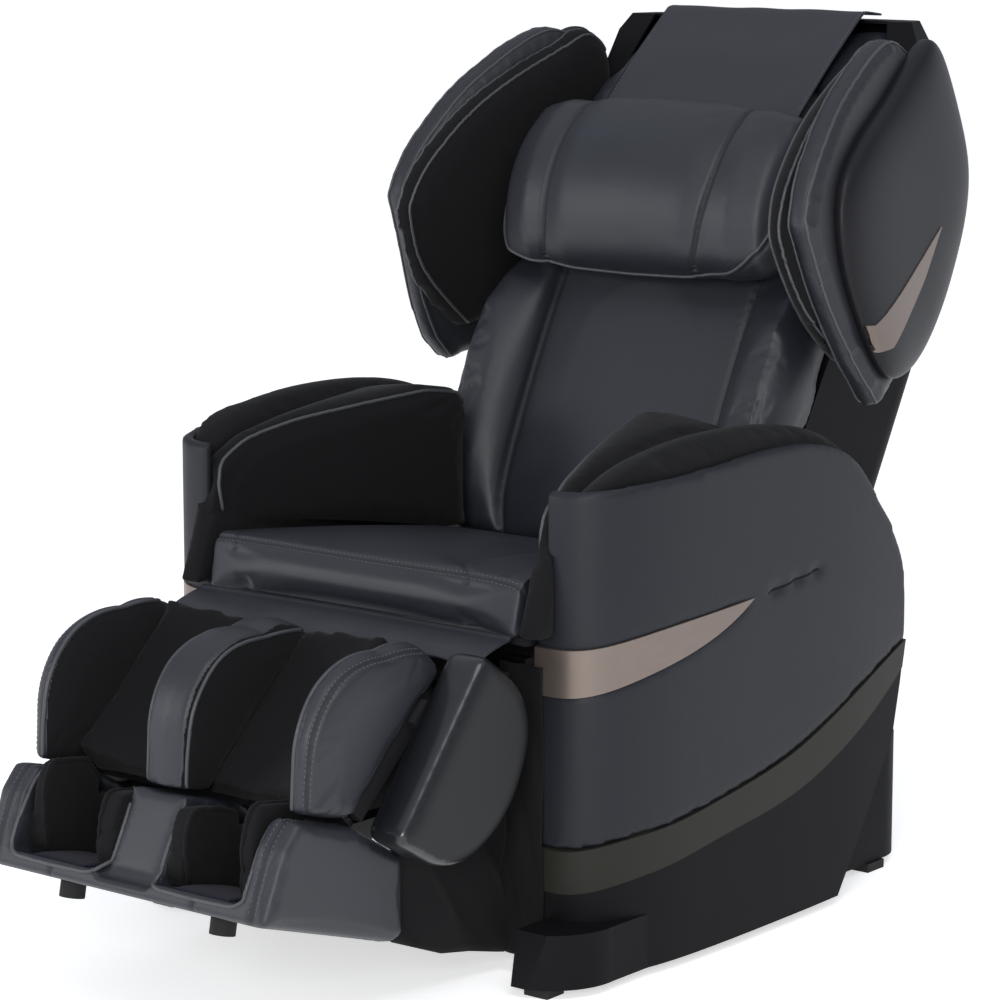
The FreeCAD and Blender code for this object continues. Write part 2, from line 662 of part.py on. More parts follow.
def make_linear_motor(x, rod_end_y, butt_y, axis_z, can_side):
    """Fixed half of a hinge motor: a tube for the rod and the motor can beside it."""
    toward = 1.0 if butt_y > rod_end_y else -1.0
    tube = rod(Vector(x, rod_end_y, axis_z), Vector(x, butt_y, axis_z), 17)
    gear = box(min(x - 24, x + can_side * 72), max(x + 24, x + can_side * 72),
               min(butt_y - toward * 60, butt_y), max(butt_y - toward * 60, butt_y), axis_z - 24, axis_z + 24)
    can = rod(Vector(x + can_side * 48, butt_y - toward * 60, axis_z),
              Vector(x + can_side * 48, butt_y - toward * 150, axis_z), 21)
    bore_depth = abs(butt_y - rod_end_y) - 40
    bore = rod(Vector(x, rod_end_y, axis_z), Vector(x, rod_end_y + toward * bore_depth, axis_z),
               ROD_RADIUS + RUNNING_FIT)
    return joined([tube, gear, can]).cut(bore)


def make_motor_rod(x, eye_y, inner_y, axis_z, slot_half_height):
    """Rod with a slotted eye, which leaves the lever's pin room for the rise and fall of its arc."""
    bar = rod(Vector(x, eye_y, axis_z), Vector(x, inner_y, axis_z), ROD_RADIUS)
    eye_half = slot_half_height + 9
    eye = box(x - 9, x + 9, eye_y - 15, eye_y + 15, axis_z - eye_half, axis_z + eye_half)
    half = LEVER_PIN_RADIUS + 2.0
    slot = box(x - 10, x + 10, eye_y - half, eye_y + half, axis_z - slot_half_height,
               axis_z + slot_half_height)
    return joined([bar, eye]).cut(slot)


def recline_pin_place():
    """Point (y, z) of the recline lever's pin at rest."""
    angle = math.radians(RECLINE_HALF_TRAVEL_DEG)
    return RECLINE_Y + RECLINE_LEVER * math.sin(angle), RECLINE_Z - RECLINE_LEVER * math.cos(angle)


def swing_pin_place():
    """Point (y, z) of the leg rest lever's pin at rest."""
    angle = math.radians(SWING_MIDDLE_DEG)
    return SWING_Y + SWING_LEVER * math.sin(angle), SWING_Z - SWING_LEVER * math.cos(angle)


def make_lever(x, pivot, pin, tube_radius):
    """Two plates from a hinge tube to the lever's pin."""
    half_height = 10.0
    along = Vector(0, pin[0] - pivot[0], pin[1] - pivot[1])
    across = Vector(0, -along.z, along.y).normalize() * half_height
    start = Vector(x, pivot[0], pivot[1]) + along * (tube_radius * 0.6 / along.Length)
    end = Vector(x, pin[0], pin[1])
    plates = []
    for side in (-16.0, 11.0):
        shift = Vector(side, 0, 0)
        corners = [start + across + shift, end + across + shift, end - across + shift, start - across + shift]
        plate = Part.Face(Part.makePolygon(corners + [corners[0]])).extrude(Vector(5, 0, 0))
        plates += [plate, cross_rod(x + side, x + side + 5, pin[0], pin[1], half_height)]
    plates.append(cross_rod(x - 14, x + 14, pin[0], pin[1], LEVER_PIN_RADIUS))
    return plates


def save_base():
    """Fixed pieces of the base and arms."""
    save("base_frame", make_base_frame())
    save("floor_feet", make_floor_feet())
    save("seat_cushion", make_seat_cushion())
    save("seat_front_strip", make_seat_front_strip())
    save_pair("side_panel", make_side_panel())
    save_pair("side_trim", make_side_trim())
    save_pair("side_band", make_side_band())
    save_pair("plinth", make_plinth())
    save_pair("arm_top", make_arm_top())
    save_pair("arm_pad", make_arm_pad())
    save("rear_cover", make_rear_cover())
    save("power_inlet", make_power_inlet())
    save("control_box", make_control_box())
    save("air_pump", make_air_pump())
    save("leg_skirt", make_leg_skirt())


def save_motors():
    """Both hinge motors with their rods."""
    recline_eye = recline_pin_place()[0]
    swing_eye = swing_pin_place()[0]
    save("recline_motor", make_linear_motor(RECLINE_MOTOR_X, 385, 150, RECLINE_AXIS_Z, 1))
    save("recline_rod", make_motor_rod(RECLINE_MOTOR_X, recline_eye, 300, RECLINE_AXIS_Z, 12))
    save("legrest_motor", make_linear_motor(SWING_MOTOR_X, 20, 249, SWING_AXIS_Z, -1))
    save("legrest_rod", make_motor_rod(SWING_MOTOR_X, swing_eye, 110, SWING_AXIS_Z, 15))


# Backrest

def make_back_frame():
    """Steel frame of the backrest: hinge tube with its lever, two side rails and three cross tubes."""
    hinge_tube = cross_rod(-236, 236, RECLINE_Y, RECLINE_Z, 16)
    bores = both(cross_rod(HINGE_PIN_INNER_X - 2, 240, RECLINE_Y, RECLINE_Z, PIN_RADIUS + RUNNING_FIT))
    pieces = [hinge_tube]
    top_u = 760.0
    for side in (1, -1):
        inner = min(side * 205, side * 223)
        rail = slab(polygon(along_back(inner), ((40, 118), (top_u, 118), (top_u, 158), (40, 158))), dx=18)
        foot = slab(polygon(along_back(inner), ((-26, 8), (-8, 30), (-2, 80), (60, 118), (60, 158), (20, 158),
                                                (-30, 30))), dx=18)
        pieces += [rail, foot]
    for u, w0, w1 in ((60, 128, 158), (700, 128, 158), (740, 128, 158)):
        outline = polygon(along_back(-214), ((u, w0), (u + 22, w0), (u + 22, w1), (u, w1)))
        pieces.append(slab(outline, dx=428))
    pieces += make_lever(RECLINE_MOTOR_X, (RECLINE_Y, RECLINE_Z), recline_pin_place(), 16)
    for u in (60, 700):
        bearing = polygon(along_back(-16), ((u, 150), (u + 22, 150), (u + 22, 230), (u, 230)))
        pieces.append(slab(bearing, dx=32))
    screw_space = rod(along_back(0)(55, SCREW_W), along_back(0)(730, SCREW_W), SCREW_RADIUS + GAP)
    return joined(pieces).cut(bores[0]).cut(bores[1]).cut(screw_space)


def make_lift_screw():
    """Screw that carries the roller carriage, with the pulley of its motor at the lower end."""
    screw = rod(along_back(0)(50, SCREW_W), along_back(0)(728, SCREW_W), SCREW_RADIUS)
    motor = rod(along_back(0)(50, SCREW_W), along_back(0)(-5, SCREW_W), 26)
    return joined([screw, motor])


def hood_solid(inset):
    """Filled body of the hood, or its hollow when inset is the wall."""
    wires = []
    for u, half, rear, radius in HOOD_SECTIONS:
        a = half - inset
        w = rear - inset
        r = radius - inset
        bend = r * (1 - math.cos(math.radians(45)))
        front = HOOD_FRONT_W + inset
        height = u if u > 0 else u - inset
        if u == HOOD_SECTIONS[-1][0]:
            height = u - inset
        wires.append(path(across_back(height), (-a, front), (-a, w - r), ((-a + bend, w - bend), (-a + r, w)),
                          (a - r, w), ((a - bend, w - bend), (a, w - r)), (a, front)))
    return loft(wires)


def make_back_shell():
    """Dark cover of the backrest's sides and rear, closed over the top as a hood, with a rim in front."""
    outside = hood_solid(0).common(box(-320, 320, 400, 1200, 200, HOOD_TOP_Z))
    inside = hood_solid(HOOD_SKIN).common(box(-320, 320, 400, 1200, 200, HOOD_TOP_Z - HOOD_SKIN))
    below = polygon(side_view(-320), ((480, 424), (800, 424), (800, 200), (400, 200), (400, 424)))
    right = [(-x, u) for x, u in reversed(HOOD_WINDOW)]
    window = slab(polygon(front_of_back(HOOD_FRONT_W - 20), HOOD_WINDOW + tuple(right)), *step_along_w(30))
    return outside.cut(inside).cut(slab(below, dx=640)).cut(window)


def back_cushion_section(u, front, rear, half, groove, crown, bolster):
    """Cross section with two seams: a crowned centre panel, grooves, and side bolsters that stand forward."""
    seam = min(SEAM_X, 0.66 * half)
    crest = half - 20
    slope = (crest + seam) / 2
    outer = ((half - 5, front - bolster * 0.55 + 8), (half, front + 32))
    return path(across_back(u), (-half, rear), (-half, front + 32),
                ((-half + 5, front - bolster * 0.55 + 8), (-crest, front - bolster)),
                ((-slope, front - bolster * 0.62), (-seam, front + groove)),
                ((0, front - crown), (seam, front + groove)),
                ((slope, front - bolster * 0.62), (crest, front - bolster)), outer, (half, rear))


def make_back_cushion():
    """Backrest cushion: flat and seamed along the back, curved rearwards into a dome above the head."""
    return loft([back_cushion_section(*row) for row in BACK_ROWS])


def along_wing(x):
    """Places (u, w) in a wing's leaning plane, which has this x at WING_LEVEL_U."""
    def place(u, w):
        return along_back(x - WING_TILT * (u - WING_LEVEL_U) - WING_FLARE * w)(u, w)
    return place


def leaf(points, x, scale):
    """Closed wire of arcs through a leaf's points, drawn in towards its middle by scale."""
    centre_u = sum(point[0] for point in points) / len(points)
    centre_w = sum(point[1] for point in points) / len(points)
    near = [(centre_u + (u - centre_u) * scale, centre_w + (w - centre_w) * scale) for u, w in points]
    steps = []
    for i in range(1, len(near), 2):
        steps.append((near[i], near[(i + 1) % len(near)]))
    return path(along_wing(x), near[0], *steps)


def leaf_loft(points, levels):
    """Solid through a leaf at several levels of x and scale."""
    return loft([leaf(points, x, scale) for x, scale in levels])


def accent_prism(floor_x, margin):
    """Tick on the wing shell, grown by margin: a blade that rises from a short foot."""
    m = margin
    outline = polygon(along_wing(floor_x), ((550 + 2 * m, 125 + m), (354, -7 - 2 * m), (334 + m, -51 - m),
                                            (321 - m, -47 - m), (320 - m, 15), (343 - m, 48 + m),
                                            (462, 99 + 2 * m)))
    return slab(outline, dx=30)


def make_wing_shell():
    """Hard outer shell of a wing, a dish with a rounded rim and the pocket of its accent."""
    return leaf_loft(WING_SHELL_LEAF, WING_SHELL_LEVELS).cut(accent_prism(ACCENT_FLOOR_X - 0.4, GAP))


def make_wing_accent():
    """Bronze tick let flush into the wing shell."""
    return leaf_loft(WING_SHELL_LEAF, WING_SHELL_LEVELS).common(accent_prism(ACCENT_FLOOR_X, 0))


def make_wing_pad():
    """Upholstered body of a wing, under its shell and against the hood."""
    return leaf_loft(WING_PAD_LEAF, WING_PAD_LEVELS).cut(hood_solid(-GAP))


def make_wing_inner():
    """Crowned cloth pad on the inside of a wing, beside the head."""
    return leaf_loft(WING_INNER_LEAF, WING_INNER_LEVELS).cut(hood_solid(-GAP))


def save_back():
    """Pieces that ride on the backrest."""
    save("back_frame", make_back_frame())
    save("back_shell", make_back_shell())
    save("back_cushion", make_back_cushion())
    save("lift_screw", make_lift_screw())
    save_pair("wing_shell", make_wing_shell())
    save_pair("wing_accent", make_wing_accent())
    save_pair("wing_pad", make_wing_pad())
    save_pair("wing_inner", make_wing_inner())


def pillow_section(x, half_height, depth):
    """Cross section of the pillow, flat behind and round in front."""
    middle = PILLOW_MIDDLE_U
    rear = PILLOW_REAR_W
    front = rear - depth
    side_w = rear - depth * 0.38
    cheek_w = front + depth * 0.22
    return path(along_back(x), (middle - half_height * 0.82, rear),
                ((middle - half_height * 1.02, side_w), (middle - half_height * 0.74, cheek_w)),
                ((middle, front), (middle + half_height * 0.74, cheek_w)),
                ((middle + half_height * 1.02, side_w), (middle + half_height * 0.82, rear)))


def make_pillow():
    """Head pillow of three panels, drawn in at its two seams and at its ends."""
    rows = [(-x, height, depth) for x, height, depth in PILLOW_ROWS] + list(reversed(PILLOW_ROWS))[1:]
    return loft([pillow_section(*row) for row in rows])


def make_head_flap():
    """Leather sheet from the pillow over the top of the backrest."""
    outline = path(along_back(-FLAP_HALF_WIDTH), (640, -15.5), ((736, 24), (822, 62)),
                   ((829, 67), (835, 78)), (848, 108),
                   (851, 106.5), (838.5, 76), ((832, 63), (824, 58.5)), ((739, 20), (640, -19.5)))
    return slab(outline, dx=2 * FLAP_HALF_WIDTH)


def save_pillow():
    """Pieces of the pillow, which flips over the top."""
    save("pillow", make_pillow())
    save("head_flap", make_head_flap())


# Roller carriage

def make_carriage():
    """Plate with shoes on the side rails, bearings for the drive shaft and the nut of the lift screw."""
    u = CARRIAGE_U
    corners = ((-190, u - 60), (190, u - 60), (190, u + 60), (-190, u + 60))
    plate = slab(rounded(front_of_back(176), corners, 12), *step_along_w(8))
    pieces = [plate]
    for side in (1, -1):
        edge = min(side * 160, side * 204.5)
        pieces.append(block_on_back(edge, 44.5, u - 55, u + 55, 160, 180))
        bearing = min(side * 126, side * 144)
        pieces.append(block_on_back(bearing, 18, u - 20, u + 20, 125, 178))
        inner = min(side * 36, side * 54)
        pieces.append(block_on_back(inner, 18, u - 20, u + 20, 125, 178))
    pieces.append(block_on_back(-24, 48, u - 30, u + 30, 182, 236))
    shaft_hole = rod(across_back(u)(-200, SHAFT_W), across_back(u)(200, SHAFT_W), SHAFT_RADIUS + RUNNING_FIT)
    nut_hole = rod(along_back(0)(u - 80, SCREW_W), along_back(0)(u + 80, SCREW_W), SCREW_RADIUS + RUNNING_FIT)
    return joined(pieces).cut(shaft_hole).cut(nut_hole)


def front_of_back(w):
    """Places (x, u) in the plane parallel to the backrest at the depth w."""
    def place(x, u):
        return along_back(x)(u, w)
    return place


def step_along_w(depth):
    """The move that is depth long and points back from the backrest, as dx, dy, dz."""
    lean = math.radians(BACK_LEAN_DEG)
    return 0.0, depth * math.cos(lean), -depth * math.sin(lean)


def block_on_back(x, width, u0, u1, w0, w1):
    """Block in the backrest's own directions."""
    return slab(polygon(along_back(x), ((u0, w0), (u1, w0), (u1, w1), (u0, w1))), dx=width)


def make_knead_motor():
    """Motor and gearbox on the rear of the carriage plate."""
    gearbox = block_on_back(60, 90, CARRIAGE_U - 45, CARRIAGE_U + 45, 184.3, 232)
    can = rod(across_back(CARRIAGE_U)(105, 232), across_back(CARRIAGE_U)(105, 262), 34)
    return joined([gearbox, can])


def make_drive_shaft():
    """Kneading shaft with a boss for each roller arm and a gear wheel at its middle."""
    place = across_back(CARRIAGE_U)
    shaft = rod(place(-158, SHAFT_W), place(158, SHAFT_W), SHAFT_RADIUS)
    gear = rod(place(-9, SHAFT_W), place(9, SHAFT_W), 27)
    bosses = []
    for side in (1, -1):
        bosses.append(rod(place(side * ARM_X - 14, SHAFT_W), place(side * ARM_X + 14, SHAFT_W), BOSS_RADIUS))
    return joined([shaft, gear] + bosses)


def make_roller_arm():
    """Left arm on its boss, with an axle for a roller at each end."""
    place = across_back(CARRIAGE_U)
    hub = rod(place(ARM_X - 11, SHAFT_W), place(ARM_X + 11, SHAFT_W), 25)
    pieces = [hub]
    for side in (1, -1):
        u = CARRIAGE_U + side * ROLLER_REACH
        end = across_back(u)
        outline = polygon(along_back(ARM_X - 5), ((CARRIAGE_U, SHAFT_W - 20), (CARRIAGE_U, SHAFT_W + 20),
                                                  (u, ROLLER_W + 9), (u, ROLLER_W - 9)))
        pieces.append(slab(outline, dx=10))
        pieces.append(rod(end(ARM_X - 5, ROLLER_W), end(ARM_X + 27, ROLLER_W), AXLE_RADIUS))
    bore = rod(place(ARM_X - 20, SHAFT_W), place(ARM_X + 20, SHAFT_W), BOSS_RADIUS + RUNNING_FIT)
    return joined(pieces).cut(bore)


def make_roller(side, up):
    """Massage roller with a round tread, on the outer side of its arm."""
    place = across_back(CARRIAGE_U + up * ROLLER_REACH)
    low = min(side * (ARM_X + 6), side * (ARM_X + 6 + ROLLER_WIDTH))
    wheel = rod(place(low, ROLLER_W), place(low + ROLLER_WIDTH, ROLLER_W), ROLLER_RADIUS)
    rims = [edge for edge in wheel.Edges if edge.Length > 2 * math.pi * ROLLER_RADIUS - 1]
    wheel = wheel.makeFillet(7, rims)
    axle = rod(place(low - 5, ROLLER_W), place(low + 40, ROLLER_W), AXLE_RADIUS + RUNNING_FIT)
    return wheel.cut(axle)


def save_carriage():
    """Pieces of the massage mechanism."""
    save("carriage", make_carriage())
    save("knead_motor", make_knead_motor())
    save("drive_shaft", make_drive_shaft())
    save_pair("roller_arm", make_roller_arm())
    for name, side in (("left", 1), ("right", -1)):
        save("roller_upper_" + name, make_roller(side, 1))
        save("roller_lower_" + name, make_roller(side, -1))


# Leg rest

def make_calf_frame():
    """Hinge tube, lever, two arms and the tray that carries the calf pads and guides the slide rods."""
    tube = cross_rod(-224, 224, SWING_Y, SWING_Z, 15)
    bores = both(cross_rod(194, 230, SWING_Y, SWING_Z, PIN_RADIUS + RUNNING_FIT))
    tray = slab(polygon(along_leg(-224), ((-140, 0.5), (38, 0.5), (38, TRAY_THICKNESS),
                                          (-150, TRAY_THICKNESS))), dx=448)
    box_mount = slab(polygon(along_leg(-236), ((-130, 2), (-96, 2), (-96, 24), (-130, 24))), dx=472)
    pieces = [tube, tray, box_mount]
    for x in (-156.0, 146.0):
        top = along_leg(x)(-104, 10)
        low = along_leg(x)(-60, 10)
        pivot_top = Vector(x, SWING_Y - 2, SWING_Z + 10)
        pivot_low = Vector(x, SWING_Y + 2, SWING_Z - 12)
        corners = [pivot_top, top, low, pivot_low]
        pieces.append(Part.Face(Part.makePolygon(corners + [corners[0]])).extrude(Vector(10, 0, 0)))
    pieces += make_lever(SWING_MOTOR_X, (SWING_Y, SWING_Z), swing_pin_place(), 15)
    frame = joined(pieces)
    for bore in bores:
        frame = frame.cut(bore)
    for x in (-SLIDE_ROD_X, SLIDE_ROD_X):
        frame = frame.cut(rod(along_leg(x)(-130, SLIDE_ROD_N), along_leg(x)(60, SLIDE_ROD_N),
                              SLIDE_ROD_RADIUS + RUNNING_FIT))
    return frame


def calf_ridge_wire(x, inset, base_n):
    """Side view of a calf pad: flat on the tray, rounded over the leg and cut off above the foot rest."""
    middle_s = -45.0
    near = [(middle_s + (s - middle_s) * (1 - inset / 140.0), max(n - inset, base_n + CALF_PAD_EDGE))
            for s, n in CALF_RIDGE]
    end_s = middle_s + (RIDGE_END_S - middle_s) * (1 - inset / 140.0)
    return path(along_leg(x), (near[0][0], base_n), near[0], (near[1], near[2]), (near[3], near[4]),
                (near[5], near[6]), near[7], (end_s, base_n))


def make_calf_pad():
    """Left outer pad of the calf rest, crowned across its ridge."""
    return loft([calf_ridge_wire(x, inset, TRAY_THICKNESS + GAP) for x, inset in CALF_PAD_ROWS])


def make_calf_center_pad():
    """Middle pad between the calves, on the lining."""
    body = loft([calf_ridge_wire(x, inset, TRAY_THICKNESS + GAP) for x, inset in CENTRE_PAD_ROWS])
    rest = CENTRE_REST_N + GAP
    under = polygon(along_leg(-50), ((-250, 0), (250, 0), (250, rest), (-250, rest)))
    return body.cut(slab(under, dx=100))


def make_calf_lining():
    """Cloth floor of both calf wells, hollowed where the calves lie and raised behind the knees."""
    half = CALF_PAD_INNER_X - GAP
    inner = CENTRE_HALF_WIDTH + GAP
    well_x = (half + inner) / 2
    base = TRAY_THICKNESS + GAP

    def section(s, middle, wall):
        return path(across_leg(s), (-half, base), (-half, wall), ((-well_x, middle), (-inner, wall - 20)),
                    (-inner, CENTRE_REST_N), (inner, CENTRE_REST_N), (inner, wall - 20),
                    ((well_x, middle), (half, wall)), (half, base))
    return loft([section(*row) for row in WELL_ROWS])


def make_calf_box():
    """Left housing beside the calf rest: a flat glossy front, a curved rear and a rounded outer edge."""
    inner_x = LEG_HALF_WIDTH + 0.4
    outline = path(side_view(inner_x), (-137, 434), (-284, 252), ((-287, 240), (-278, 233)), (-226, 202),
                   ((-196, 192), (-160, 193)), ((-92, 231), (-50, 300)), ((-47, 357), (-78, 402)),
                   (-118, 431), ((-128, 436), (-137, 434)))
    body = slab(outline, dx=CALF_BOX_OUTER_X - inner_x)
    rim = [edge for edge in body.Edges if edge.BoundBox.XMin > CALF_BOX_OUTER_X - 0.01]
    return body.makeFillet(CALF_BOX_ROUNDING, rim)


def save_calf():
    """Pieces of the calf rest."""
    save("calf_frame", make_calf_frame())
    save_pair("calf_pad", make_calf_pad())
    save("calf_center_pad", make_calf_center_pad())
    save("calf_lining", make_calf_lining())
    save_pair("calf_box", make_calf_box())


# Foot rest

def make_foot_shell():
    """Leather covered shell of the foot rest with two wells, a low front lip and a middle hump."""
    outline = rounded(side_view(-LEG_HALF_WIDTH), FOOT_SIDE, 4)
    body = slab(outline, dx=2 * LEG_HALF_WIDTH)
    edges = [edge for edge in body.Edges if edge.BoundBox.XLength < 0.01 and edge.Length > 20
             and edge.BoundBox.YMax < -400]
    body = body.makeFillet(10, edges)
    for x in (-WELL_OUTER_X, WELL_INNER_X):
        well = path(side_view(x), (-520, 202), SOLE_FRONT, SOLE_HEEL, (-230, 190), (-262, 300), (-520, 300))
        body = body.cut(slab(well, dx=WELL_OUTER_X - WELL_INNER_X))
    hump = polygon(side_view(-WELL_INNER_X - 1), ((-520, 300), (-396, 300), (-392, 272), (-436, 188),
                                                  (-448, 176), (-520, 190)))
    return body.cut(slab(hump, dx=2 * WELL_INNER_X + 2))


def foot_pad(near, far, outline):
    """Upright pad inside a foot well, from one x to another."""
    return slab(outline(side_view(min(near, far))), dx=abs(far - near))


def low_pad_outline(place):
    """Side view of the lining pad that fills a well's wall."""
    return path(place, (-420, 176), ((-418, 226), (-386, 236)), (-330, 236), (-262, 216), (-232.5, 190),
                (-238.5, 122))


def high_pad_outline(place):
    """Side view of the outer pad's upper part, which rises in front of the calf rest."""
    return path(place, (-420, 200), ((-424, 258), (-408, 289)), (-398, 291), (-349, 284), (-326, 258),
                (-326, 225))


def inner_pad_outline(place):
    """Side view of the inner pad's upper part, lower than the outer one."""
    return path(place, (-420, 195), ((-421, 240), (-408, 266)), (-398, 268), (-356, 262), (-326, 250),
                (-326, 225))


def make_foot_lining():
    """Cloth pads that line both foot wells: a heel wall and two raised side pads in each."""
    wells = []
    for side in (1, -1):
        inner = side * (WELL_INNER_X + GAP)
        outer = side * (WELL_OUTER_X - GAP)
        pieces = [foot_pad(inner, side * 72.0, low_pad_outline), foot_pad(side * 164.0, outer, low_pad_outline),
                  foot_pad(inner, side * 72.0, inner_pad_outline),
                  foot_pad(side * 164.0, side * (CALF_PAD_INNER_X - GAP), high_pad_outline)]
        heel = polygon(side_view(min(inner, outer)), ((-238.5, 121), (-232.5, 190), (-250, 203), (-272, 150),
                                                      (-270, 130.5)))
        pieces.append(slab(heel, dx=abs(outer - inner)))
        wells.append(joined(pieces))
    return Part.makeCompound(wells)


def make_sole_cloth():
    """Padded cloth under each foot."""
    soles = []
    for side in (1, -1):
        x0 = min(side * SOLE_HALF_X[0], side * SOLE_HALF_X[1])
        outline = path(side_view(x0), (-450, 183.5), ((-400, 176), (-350, 163)), ((-310, 149), (-274, 143)),
                       (-271, 132), (-448, 182.2))
        soles.append(slab(outline, dx=SOLE_HALF_X[1] - SOLE_HALF_X[0]))
    return Part.makeCompound(soles)


def make_slide_rods():
    """Two rods of the foot rest, joined by a plate, which slide in the calf tray."""
    plate = slab(polygon(along_leg(-216), ((43, 2.2), (50, 2.2), (50, 26), (43, 26))), dx=432)
    rods = []
    for x in (-SLIDE_ROD_X, SLIDE_ROD_X):
        rods.append(rod(along_leg(x)(46, SLIDE_ROD_N), along_leg(x)(-118, SLIDE_ROD_N), SLIDE_ROD_RADIUS))
    return joined([plate] + rods)


def make_foot_bumpers():
    """Two rubber feet under the foot rest."""
    feet = []
    for x in (-BUMPER_X, BUMPER_X):
        feet.append(rod(Vector(x, -418, 129), Vector(x, -414, 148.5), 16))
    return Part.makeCompound(feet)


def make_leg_skirt():
    """Folded cloth that closes the space between the foot rest, the calf boxes and the base."""
    half = SKIRT_HALF
    thick = 4.0
    front_y = -213.5
    outline = list(SKIRT_RUN) + [(y, z + thick) for y, z in reversed(SKIRT_RUN)]
    floor = slab(polygon(side_view(-half - 3), outline), dx=2 * half + 6)
    outer = [(half + SKIRT_FOLD * math.sin(math.pi * i / 2.0), front_y + SKIRT_FOLD_STEP * i)
             for i in range(13)]
    inner = [(x - 2.5, y) for x, y in outer]
    ends = [Part.LineSegment(top_view(20)(*outer[i]), top_view(20)(*inner[i])).toShape() for i in (0, -1)]
    sheet = Part.Wire(Part.sortEdges([curve(top_view(20), outer), curve(top_view(20), inner)] + ends)[0])
    view = polygon(side_view(200), ((-225, 207), (-225, 90), (-176, 71), (-130, 53), (-76, 43), (-22, 29),
                                    (-3, 25), (-3, 300), (-30, 335), (-72, 330), (-130, 262), (-190, 215)))
    side = slab(sheet, dz=330).common(slab(view, dx=80))
    flap = box(half - 1, 282, -6, -2.5, 25, 300)
    return joined([floor] + both(side) + both(flap))


def save_foot():
    """Pieces of the foot rest."""
    save("foot_shell", make_foot_shell())
    save("foot_lining", make_foot_lining())
    save("sole_cloth", make_sole_cloth())
    save("slide_rods", make_slide_rods())
    save("foot_bumpers", make_foot_bumpers())


os.makedirs("parts", exist_ok=True)
save_base()
save_motors()
save_back()
save_pillow()
save_carriage()
save_calf()
save_foot()
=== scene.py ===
# %% [markdown]
# # An upholstered massage chair
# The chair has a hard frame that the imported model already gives, and soft goods that Blender makes: leather cushions, cloth
# pads and a folded leg skirt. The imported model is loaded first, so every piece made here lies in its frame.
# %% Load the frame
import json
import math

import bmesh
import bpy
import numpy as np
from mathutils import Matrix, Vector
from mathutils.bvhtree import BVHTree

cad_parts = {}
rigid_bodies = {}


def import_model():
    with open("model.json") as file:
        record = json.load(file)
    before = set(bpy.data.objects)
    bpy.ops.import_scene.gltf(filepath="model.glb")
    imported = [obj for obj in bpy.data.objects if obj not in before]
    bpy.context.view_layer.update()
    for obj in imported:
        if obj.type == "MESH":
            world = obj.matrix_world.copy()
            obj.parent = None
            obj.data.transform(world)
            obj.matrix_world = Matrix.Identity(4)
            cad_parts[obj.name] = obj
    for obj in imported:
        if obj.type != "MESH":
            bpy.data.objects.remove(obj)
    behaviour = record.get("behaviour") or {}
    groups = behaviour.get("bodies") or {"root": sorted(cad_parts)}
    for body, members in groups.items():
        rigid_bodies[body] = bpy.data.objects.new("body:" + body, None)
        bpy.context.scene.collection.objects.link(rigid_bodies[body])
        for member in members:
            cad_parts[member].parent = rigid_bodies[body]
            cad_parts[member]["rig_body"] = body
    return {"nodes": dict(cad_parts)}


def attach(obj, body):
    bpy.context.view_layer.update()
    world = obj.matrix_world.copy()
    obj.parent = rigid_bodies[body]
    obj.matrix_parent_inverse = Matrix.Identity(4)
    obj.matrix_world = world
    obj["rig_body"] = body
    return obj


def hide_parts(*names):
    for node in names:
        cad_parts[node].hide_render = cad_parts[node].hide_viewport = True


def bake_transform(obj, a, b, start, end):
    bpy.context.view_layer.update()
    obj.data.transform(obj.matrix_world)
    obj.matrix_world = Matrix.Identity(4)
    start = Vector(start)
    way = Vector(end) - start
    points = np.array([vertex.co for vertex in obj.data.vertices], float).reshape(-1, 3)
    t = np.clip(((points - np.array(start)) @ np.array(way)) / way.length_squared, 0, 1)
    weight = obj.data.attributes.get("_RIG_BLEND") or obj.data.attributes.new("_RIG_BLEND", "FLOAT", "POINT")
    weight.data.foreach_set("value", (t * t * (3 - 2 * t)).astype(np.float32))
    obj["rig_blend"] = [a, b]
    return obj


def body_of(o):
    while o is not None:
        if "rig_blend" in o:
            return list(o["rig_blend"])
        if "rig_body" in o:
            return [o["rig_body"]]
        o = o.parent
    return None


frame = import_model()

for leftover in [o for o in bpy.data.objects if o.name in ("Cube", "Light", "Camera")]:
    bpy.data.objects.remove(leftover)
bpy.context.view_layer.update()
nodes = frame["nodes"]
scene = bpy.context.scene
print("hard pieces and soft solids in the frame:", len(nodes))

# %% [markdown]
# ## The camera
# The photograph was taken with a long lens from the front left corner, a little above the armrests. A camera placed by its
# own three axes is easier to fit than one placed by angles, because each axis can be checked alone.
# %% Camera
AZIMUTH = math.radians(38.6)
ELEVATION = math.radians(10.2)
right = Vector((math.cos(AZIMUTH), math.sin(AZIMUTH), 0))
back = Vector((math.sin(AZIMUTH) * math.cos(ELEVATION), -math.cos(AZIMUTH) * math.cos(ELEVATION), math.sin(ELEVATION)))
up = back.cross(right)
camera_data = bpy.data.cameras.new("camera")
camera_data.lens = 130.42
camera_data.sensor_width = 36
camera_data.clip_end = 100
camera = bpy.data.objects.new("camera", camera_data)
turn = Matrix((right, up, back)).transposed().to_4x4()
camera.matrix_world = Matrix.Translation((2.9489, -3.6861, 1.3904)) @ turn
scene.collection.objects.link(camera)
scene.camera = camera
print("camera stands", round(camera.location.length, 2), "m from the middle of the floor")

